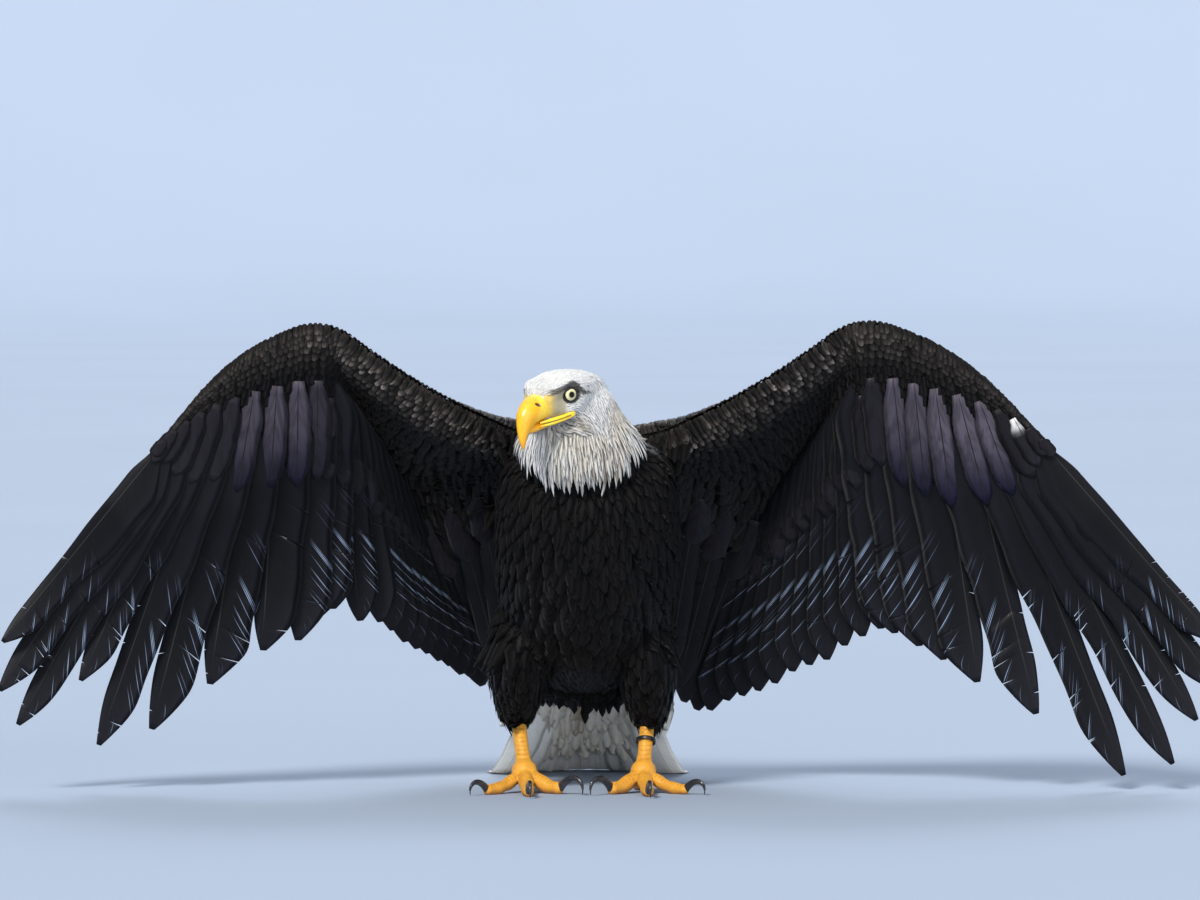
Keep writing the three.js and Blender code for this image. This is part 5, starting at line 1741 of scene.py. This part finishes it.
def build_eye(name, side):
    centre, look, ahead, over = gaze(side)
    size = bpy.context.scene.eagle_sizes.eye_radius
    deselect()
    bpy.ops.mesh.primitive_uv_sphere_add(segments=48, ring_count=32, radius=size, location=(0, 0, 0))
    o = bpy.context.active_object
    o.name = o.data.name = name
    co = np.array([v.co[:] for v in o.data.vertices])
    polar = np.arccos(np.clip(co[:, 2] / size, -1, 1))
    bulge = 1 + 0.05 * np.exp(-(polar / 0.62) ** 4)
    co *= bulge[:, None]
    turned = (np.outer(co[:, 0], ahead) + np.outer(co[:, 1], over) + np.outer(co[:, 2], look)) * 1000
    o.data.vertices.foreach_set("co", to_row(centre + turned).astype(np.float32).ravel())
    bm = bmesh.new()
    bm.from_mesh(o.data)
    bmesh.ops.recalc_face_normals(bm, faces=bm.faces)
    bm.to_mesh(o.data)
    bm.free()
    layer = o.data.uv_layers.new(name="gaze")
    turn = np.arctan2(co[:, 1], co[:, 0]) / (2 * math.pi) + 0.5
    iris = polar / math.radians(38.5)
    for loop in o.data.loops:
        i = loop.vertex_index
        layer.data[loop.index].uv = (turn[i], iris[i])
    for layer in list(o.data.uv_layers):
        if layer.name != "gaze":
            o.data.uv_layers.remove(layer)
    o.data.shade_smooth()
    return o


def build_lids():
    """The dark rims round both eyes: a thick edge that fits the eyeball and blends into the face."""
    parts = []
    for _, side in SIDES:
        centre, look, ahead, over = gaze(side)
        rings = []
        turns = 56
        for k in range(turns):
            a = 2 * math.pi * k / turns
            up, front = math.sin(a), math.cos(a)
            brow = max(up * 0.94 + front * 0.34, 0)
            opening = 41.5 - 9.5 * brow**1.5 + 1.5 * max(-up, 0) + 8 * max(front, 0) ** 6 + 4 * max(-front, 0) ** 6
            ring = []
            section = ((0.0, 11.35), (0.6, 11.9), (2.5, 12.35), (6, 12.5), (12, 12.2), (22, 11.4), (22, 10.6), (8, 10.7),
                       (1.0, 10.9))
            for wider, r in section:
                t = math.radians(opening + wider * (1 + 0.5 * max(up, 0)))
                ring.append(centre + (look * math.cos(t) + (ahead * front + over * up) * math.sin(t)) * r)
            rings.append(np.array(ring))
        n = len(rings[0])
        points = np.concatenate(rings)
        faces = []
        for r in range(turns):
            for k in range(n):
                a, b = r * n + k, r * n + (k + 1) % n
                c, d = ((r + 1) % turns) * n + (k + 1) % n, ((r + 1) % turns) * n + k
                faces.append((a, b, c, d))
        parts.append((points, faces))
    return mesh_piece("eye_lids", *joined(parts))


# ---------------------------------------------------------------------------------------------------------
# Legs and feet
# ---------------------------------------------------------------------------------------------------------
def shank_point(name, t):
    ankle, foot = vec(ANKLE[name]), vec(FOOT[name])
    return smooth_row((ankle, mix(ankle, foot, 0.5) + (0, -4, 0), foot), 2 * t)


def toe_way(name, kind):
    left, right, length, *_ = TOES[kind]
    out = math.radians(left if name == "left" else right) * (1 if name == "left" else -1)
    way = vec((math.sin(out), -math.cos(out), 0))
    root = vec(FOOT[name]) + (0, -3, 0) + way * 4
    root[2] = 0
    return way, root, length + PAD - 4


def toe_height(root, tip, t):
    return mix(root, tip, t) * 0.98 - 0.6 + TOE_ARCH * min(max(1 - t / 0.7, 0), 1) ** 1.5


def build_foot(name):
    parts = [taper(lambda t: shank_point(name, t), 30, 24, lambda t: SHANK - 0.3 + 3.2 * float(smooth(t, 0.7, 1)))]
    foot = vec(FOOT[name]) + (0, -3, -1)
    rings = [oval(foot + UP * 14 * math.sin(a), ACROSS, vec((0, 1, 0)), PAD * math.cos(a), PAD * math.cos(a),
                  PAD * math.cos(a), 28) for a in np.linspace(-1.5, 1.5, 16)]
    parts.append(loft(rings))
    for kind, (_, _, _, root_r, tip_r, _) in TOES.items():
        way, root, reach = toe_way(name, kind)
        across = np.cross(way, UP)
        joints = 2 if kind in ("hallux", "inner") else 3
        rings = []
        for t in np.linspace(0, 1, 40):
            end = math.sqrt(max(1 - ((t - 0.88) / 0.125) ** 2, 0.02)) if t > 0.88 else 1
            r = mix(root_r, tip_r, t) * (1 + 0.08 * math.cos(2 * math.pi * joints * t)) * end
            middle = root + way * reach * t
            middle[2] = toe_height(root_r, tip_r, t)
            rings.append(oval(middle, across, UP, r * 0.98, r, r, 24))
        parts.append(loft(rings))
    o = mesh_piece("foot_" + name, *joined(parts))
    apply(o, "REMESH", mode="VOXEL", voxel_size=0.00125, use_smooth_shade=True)
    apply(o, "SMOOTH", factor=0.5, iterations=5)
    p = bird_points(o)
    sink = np.zeros(len(p))
    normal = np.array([v.normal[:] for v in o.data.vertices])
    for kind, (_, _, _, root_r, tip_r, _) in TOES.items():
        way, root, reach = toe_way(name, kind)
        q = p - root
        along = q @ way
        off = np.abs(q @ np.cross(way, UP))
        inside = (along > 12) & (along < reach + 2) & (off < 12)
        plates = np.abs((along / 4.4) % 1 - 0.5) * 2
        groove = smooth(plates, 0.72, 1.0) * inside * smooth(normal[:, 2], 0.1, 0.6)
        sink = np.maximum(sink, groove * 0.75)
    front = smooth(-normal[:, 1], 0.2, 0.7) * (p[:, 2] > 34)
    sink = np.maximum(sink, 0.7 * front * smooth(np.abs((p[:, 2] / 4.8) % 1 - 0.5) * 2, 0.72, 1.0))
    p = p - normal * sink[:, None]
    p[:, 2] = np.maximum(p[:, 2], 0.02)
    set_bird_points(o, p)
    # painted shade: darker in the grooves between the scales, by the grooves' depth, and darker and redder where the
    # surface faces down
    shade = np.tile(FOOT_SKIN, (len(p), 1)) * (1 - 0.42 * sink / 0.75)[:, None]
    shade = mix(shade, FOOT_SKIN * (0.75, 0.6, 0.6), smooth(-normal[:, 2], 0.0, 0.8)[:, None])
    paint(o, shade)
    return o


def build_claws(name):
    parts = []
    for kind, (_, _, _, _, tip_r, chord) in TOES.items():
        way, root, reach = toe_way(name, kind)
        tip = root + way * reach

        def at(forward, up, tip=tip, way=way):
            q = tip + way * forward
            q[2] = up
            return q

        curve = (at(-4, tip_r - 0.6), at(chord * 0.34, tip_r + chord * 0.56), at(chord, tip_r + chord * 0.4),
                 at(chord * 0.86, 0.9))
        thick = tip_r * 0.62
        parts.append(taper(lambda t, c=curve: bezier(c, t), 36, 20,
                           lambda t, w=thick: max(0.35, w * (1 - t) ** 0.62), 1.15))
    return mesh_piece("claws_" + name, *joined(parts))


def build_band():
    """The ring: a short tube with rounded edges, threaded on the left leg."""
    t = 1 - BAND["up"] / np.linalg.norm(vec(ANKLE["left"]) - vec(FOOT["left"]))
    centre = shank_point("left", t)
    axis = unit(shank_point("left", t - 0.02) - shank_point("left", t + 0.02))
    inner = SHANK + 0.95
    deselect()
    bpy.ops.mesh.primitive_cylinder_add(vertices=64, radius=inner / 1000, depth=BAND["height"] / 1000,
                                        end_fill_type="NOTHING", location=(0, 0, 0))
    o = bpy.context.active_object
    o.name = o.data.name = "leg_ring"
    apply(o, "SOLIDIFY", thickness=BAND["wall"] / 1000, offset=1.0)
    apply(o, "BEVEL", width=0.0005, segments=3, limit_method="ANGLE")
    turn = Vector((0, 0, 1)).rotation_difference(Vector(axis)).to_matrix().to_4x4()
    o.data.transform(Matrix.Translation(Vector(to_row(centre))) @ turn)
    bm = bmesh.new()
    bm.from_mesh(o.data)
    bmesh.ops.recalc_face_normals(bm, faces=bm.faces)
    bm.to_mesh(o.data)
    bm.free()
    choose(o)
    bpy.ops.object.shade_smooth_by_angle(angle=math.radians(35))
    return o


# ---------------------------------------------------------------------------------------------------------
# Stage
# ---------------------------------------------------------------------------------------------------------
def build_stage(settings):
    """A round pale floor that sweeps up into a wall all round, soft lights, and the camera."""
    rings = [(0.0, 0.0)] + [(r, 0.0) for r in (2, 8, 18, 26)]
    rings += [(26 + 6 * math.sin(a), 6 * (1 - math.cos(a))) for a in np.linspace(0.15, math.pi / 2, 12)]
    rings.append((32, 30))
    sides = 96
    points = [(0, 0, 0)]
    for r, z in rings[1:]:
        points += [(r * math.cos(2 * math.pi * k / sides), r * math.sin(2 * math.pi * k / sides), z) for k in range(sides)]
    faces = [(0, 1 + k, 1 + (k + 1) % sides) for k in range(sides)]
    for i in range(len(rings) - 2):
        a = 1 + i * sides
        faces += [(a + k, a + sides + k, a + sides + (k + 1) % sides, a + (k + 1) % sides) for k in range(sides)]
    me = bpy.data.meshes.new("floor")
    me.from_pydata(points, [], faces)
    me.shade_smooth()
    floor = new_object("floor", me)
    floor.data.materials.append(floor_material(tuple(settings.floor_colour)))
    floor.visible_shadow = False

    world = bpy.data.worlds.new("studio")
    bpy.context.scene.world = world
    world.use_nodes = True
    world.node_tree.nodes["Background"].inputs[0].default_value = (0.97, 0.98, 1.0, 1)
    world.node_tree.nodes["Background"].inputs[1].default_value = settings.fill_light
    for name, strength, angle, turn in (
        ("key", settings.key_light, 14, (math.radians(50), 0, math.radians(-26))),
        ("side", settings.key_light * 0.42, 40, (math.radians(78), 0, math.radians(24))),
        ("rim", settings.key_light * 0.35, 25, (math.radians(50), 0, math.radians(172))),
    ):
        lamp = bpy.data.lights.new(name, "SUN")
        lamp.energy, lamp.angle = strength, math.radians(angle)
        lamp.color = (1.0, 0.97, 0.92) if name == "key" else (0.92, 0.95, 1.0)
        o = new_object(name, lamp)
        o.rotation_euler = turn

    aim = Vector(to_row((14, 0, 394)))
    lift = math.radians(settings.camera_lift)
    distance = settings.camera_distance
    camera = bpy.data.cameras.new("camera")
    camera.sensor_width = 36
    camera.lens = 36 * distance / (1200 * 0.00115)
    camera.clip_start, camera.clip_end = 0.1, 200
    o = new_object("camera", camera)
    o.location = aim + distance * Vector((0, -math.cos(lift), math.sin(lift)))
    o.rotation_mode = "QUATERNION"
    o.rotation_quaternion = (aim - o.location).to_track_quat("-Z", "Y")
    bpy.context.scene.camera = o
    bpy.context.scene.view_settings.view_transform = "Standard"


# ---------------------------------------------------------------------------------------------------------
# Settings, operators and panel
# ---------------------------------------------------------------------------------------------------------
class EagleSizes(bpy.types.PropertyGroup):
    """Sizes and lights that a user would change."""

    eye_radius: FloatProperty(name="Eye radius", description="Radius of each eyeball", default=0.011, min=0.008,
                              max=0.013, subtype="DISTANCE", unit="LENGTH")
    camera_distance: FloatProperty(name="Camera distance", description="From the camera to the bird", default=10.0,
                                   min=4, max=20, subtype="DISTANCE", unit="LENGTH")
    camera_lift: FloatProperty(name="Camera lift", description="Degrees that the camera looks down", default=2.0,
                               min=0, max=30)
    key_light: FloatProperty(name="Key light", description="Strength of the main light", default=3.7, min=0, max=20)
    fill_light: FloatProperty(name="Fill light", description="Strength of the light all round", default=0.85, min=0,
                              max=5)
    floor_colour: FloatVectorProperty(name="Floor", description="Colour of the floor and wall", subtype="COLOR",
                                      default=(0.30, 0.355, 0.44), min=0, max=1)


class EAGLE_OT_skin(bpy.types.Operator):
    """Builds the one skin under all the feathers"""

    bl_idname = "eagle.skin"
    bl_label = "Skin"

    def execute(self, context):
        o = build_skin()
        paint(o, skin_colours(bird_points(o)))
        nodes = ["head", "neck", "trunk", "tail_coverts"]
        nodes += [part + side for part in ("thigh_", "wing_arm_", "wing_hand_") for side in ("left", "right")]
        finish_piece(o, materials()["skin"], "dark_feathers", *nodes)
        return {"FINISHED"}


class EAGLE_OT_body_feathers(bpy.types.Operator):
    """Grows the feathers of the head, neck, trunk, thighs and tail's root"""

    bl_idname = "eagle.body_feathers"
    bl_label = "Body feathers"

    def execute(self, context):
        if "skin" not in bpy.data.objects:
            raise RuntimeError("The feathers grow on the skin, so the skin comes first")
        m = materials()
        finish_piece(build_head_coat(), m["white"], "white_feathers")
        finish_piece(build_neck_coat(), m["white"], "white_feathers")
        finish_piece(build_trunk_coat(), m["dark"], "dark_feathers")
        for o in build_thigh_coat():
            finish_piece(o, m["dark"], "dark_feathers")
        finish_piece(build_tail_coat(), m["white"], "tail_feathers")
        return {"FINISHED"}


class EAGLE_OT_wing_coverts(bpy.types.Operator):
    """Lays the coverts over and under both wings"""

    bl_idname = "eagle.wing_coverts"
    bl_label = "Wing coverts"

    def execute(self, context):
        for name, _ in SIDES:
            for face_side in (1, -1):
                finish_piece(covert_piece(name, face_side), materials()["coverts"], "dark_feathers")
        return {"FINISHED"}


class EAGLE_OT_flight_feathers(bpy.types.Operator):
    """Makes the primaries, secondaries and tail feathers"""

    bl_idname = "eagle.flight_feathers"
    bl_label = "Flight feathers"

    def execute(self, context):
        m = materials()
        for name, _ in SIDES:
            finish_piece(build_primaries(name), m["flight"], "flight_feathers", "primaries_" + name)
            finish_piece(build_secondaries(name), m["flight"], "flight_feathers", "secondaries_" + name)
        finish_piece(build_tail(), m["tail"], "tail_feathers", "tail")
        return {"FINISHED"}


class EAGLE_OT_bill(bpy.types.Operator):
    """Shapes the upper and lower bill with the cere, nostrils and lips"""

    bl_idname = "eagle.bill"
    bl_label = "Bill"

    def execute(self, context):
        upper, lower = build_bill()
        finish_piece(upper, materials()["bill"], "bill", "bill_upper")
        finish_piece(lower, materials()["bill"], "bill", "bill_lower")
        return {"FINISHED"}


class EAGLE_OT_eyes(bpy.types.Operator):
    """Makes the eyes and their dark rims"""

    bl_idname = "eagle.eyes"
    bl_label = "Eyes"

    def execute(self, context):
        m = materials()
        for name, side in SIDES:
            finish_piece(build_eye("eyeball_" + name, side), m["eye"], "eye", "eye_" + name)
        finish_piece(build_lids(), m["lid"], "eye")
        return {"FINISHED"}


class EAGLE_OT_feet(bpy.types.Operator):
    """Makes the scaled legs and toes, the claws and the ring on the left leg"""

    bl_idname = "eagle.feet"
    bl_label = "Feet"

    def execute(self, context):
        m = materials()
        for name, _ in SIDES:
            toes = ["toe_" + kind + "_" + name for kind in TOES]
            finish_piece(build_foot(name), m["foot"], "foot_skin", "shank_" + name, *toes)
            finish_piece(build_claws(name), m["claw"], "claw", *["claw_" + kind + "_" + name for kind in TOES])
        finish_piece(build_band(), m["band"], "leg_band", "leg_band")
        return {"FINISHED"}


class EAGLE_OT_stage(bpy.types.Operator):
    """Sets the pale floor, the soft lights and the camera"""

    bl_idname = "eagle.stage"
    bl_label = "Stage"

    def execute(self, context):
        build_stage(context.scene.eagle_sizes)
        if context.scene.camera is None:
            raise RuntimeError("The stage has no camera")
        return {"FINISHED"}


STEPS = (EAGLE_OT_skin, EAGLE_OT_body_feathers, EAGLE_OT_wing_coverts, EAGLE_OT_flight_feathers, EAGLE_OT_bill,
         EAGLE_OT_eyes, EAGLE_OT_feet, EAGLE_OT_stage)


class EAGLE_PT_panel(bpy.types.Panel):
    """Lists the eagle's settings and the steps that build it"""

    bl_idname = "EAGLE_PT_panel"
    bl_label = "Bald Eagle"
    bl_space_type = "VIEW_3D"
    bl_region_type = "UI"
    bl_category = "Eagle"

    def draw(self, context):
        sizes = context.scene.eagle_sizes
        for prop in ("eye_radius", "camera_distance", "camera_lift", "key_light", "fill_light", "floor_colour"):
            self.layout.prop(sizes, prop)
        for step in STEPS:
            self.layout.operator(step.bl_idname)


CLASSES = (EagleSizes, *STEPS, EAGLE_PT_panel)


def register():
    for c in CLASSES:
        bpy.utils.register_class(c)
    bpy.types.Scene.eagle_sizes = PointerProperty(type=EagleSizes)


def unregister():
    del bpy.types.Scene.eagle_sizes
    for c in reversed(CLASSES):
        bpy.utils.unregister_class(c)


def main():
    register()
    bpy.ops.eagle.skin()
    bpy.ops.eagle.body_feathers()
    bpy.ops.eagle.wing_coverts()
    bpy.ops.eagle.flight_feathers()
    bpy.ops.eagle.bill()
    bpy.ops.eagle.eyes()
    bpy.ops.eagle.feet()
    bpy.ops.eagle.stage()


if __name__ == "__main__":
    main()
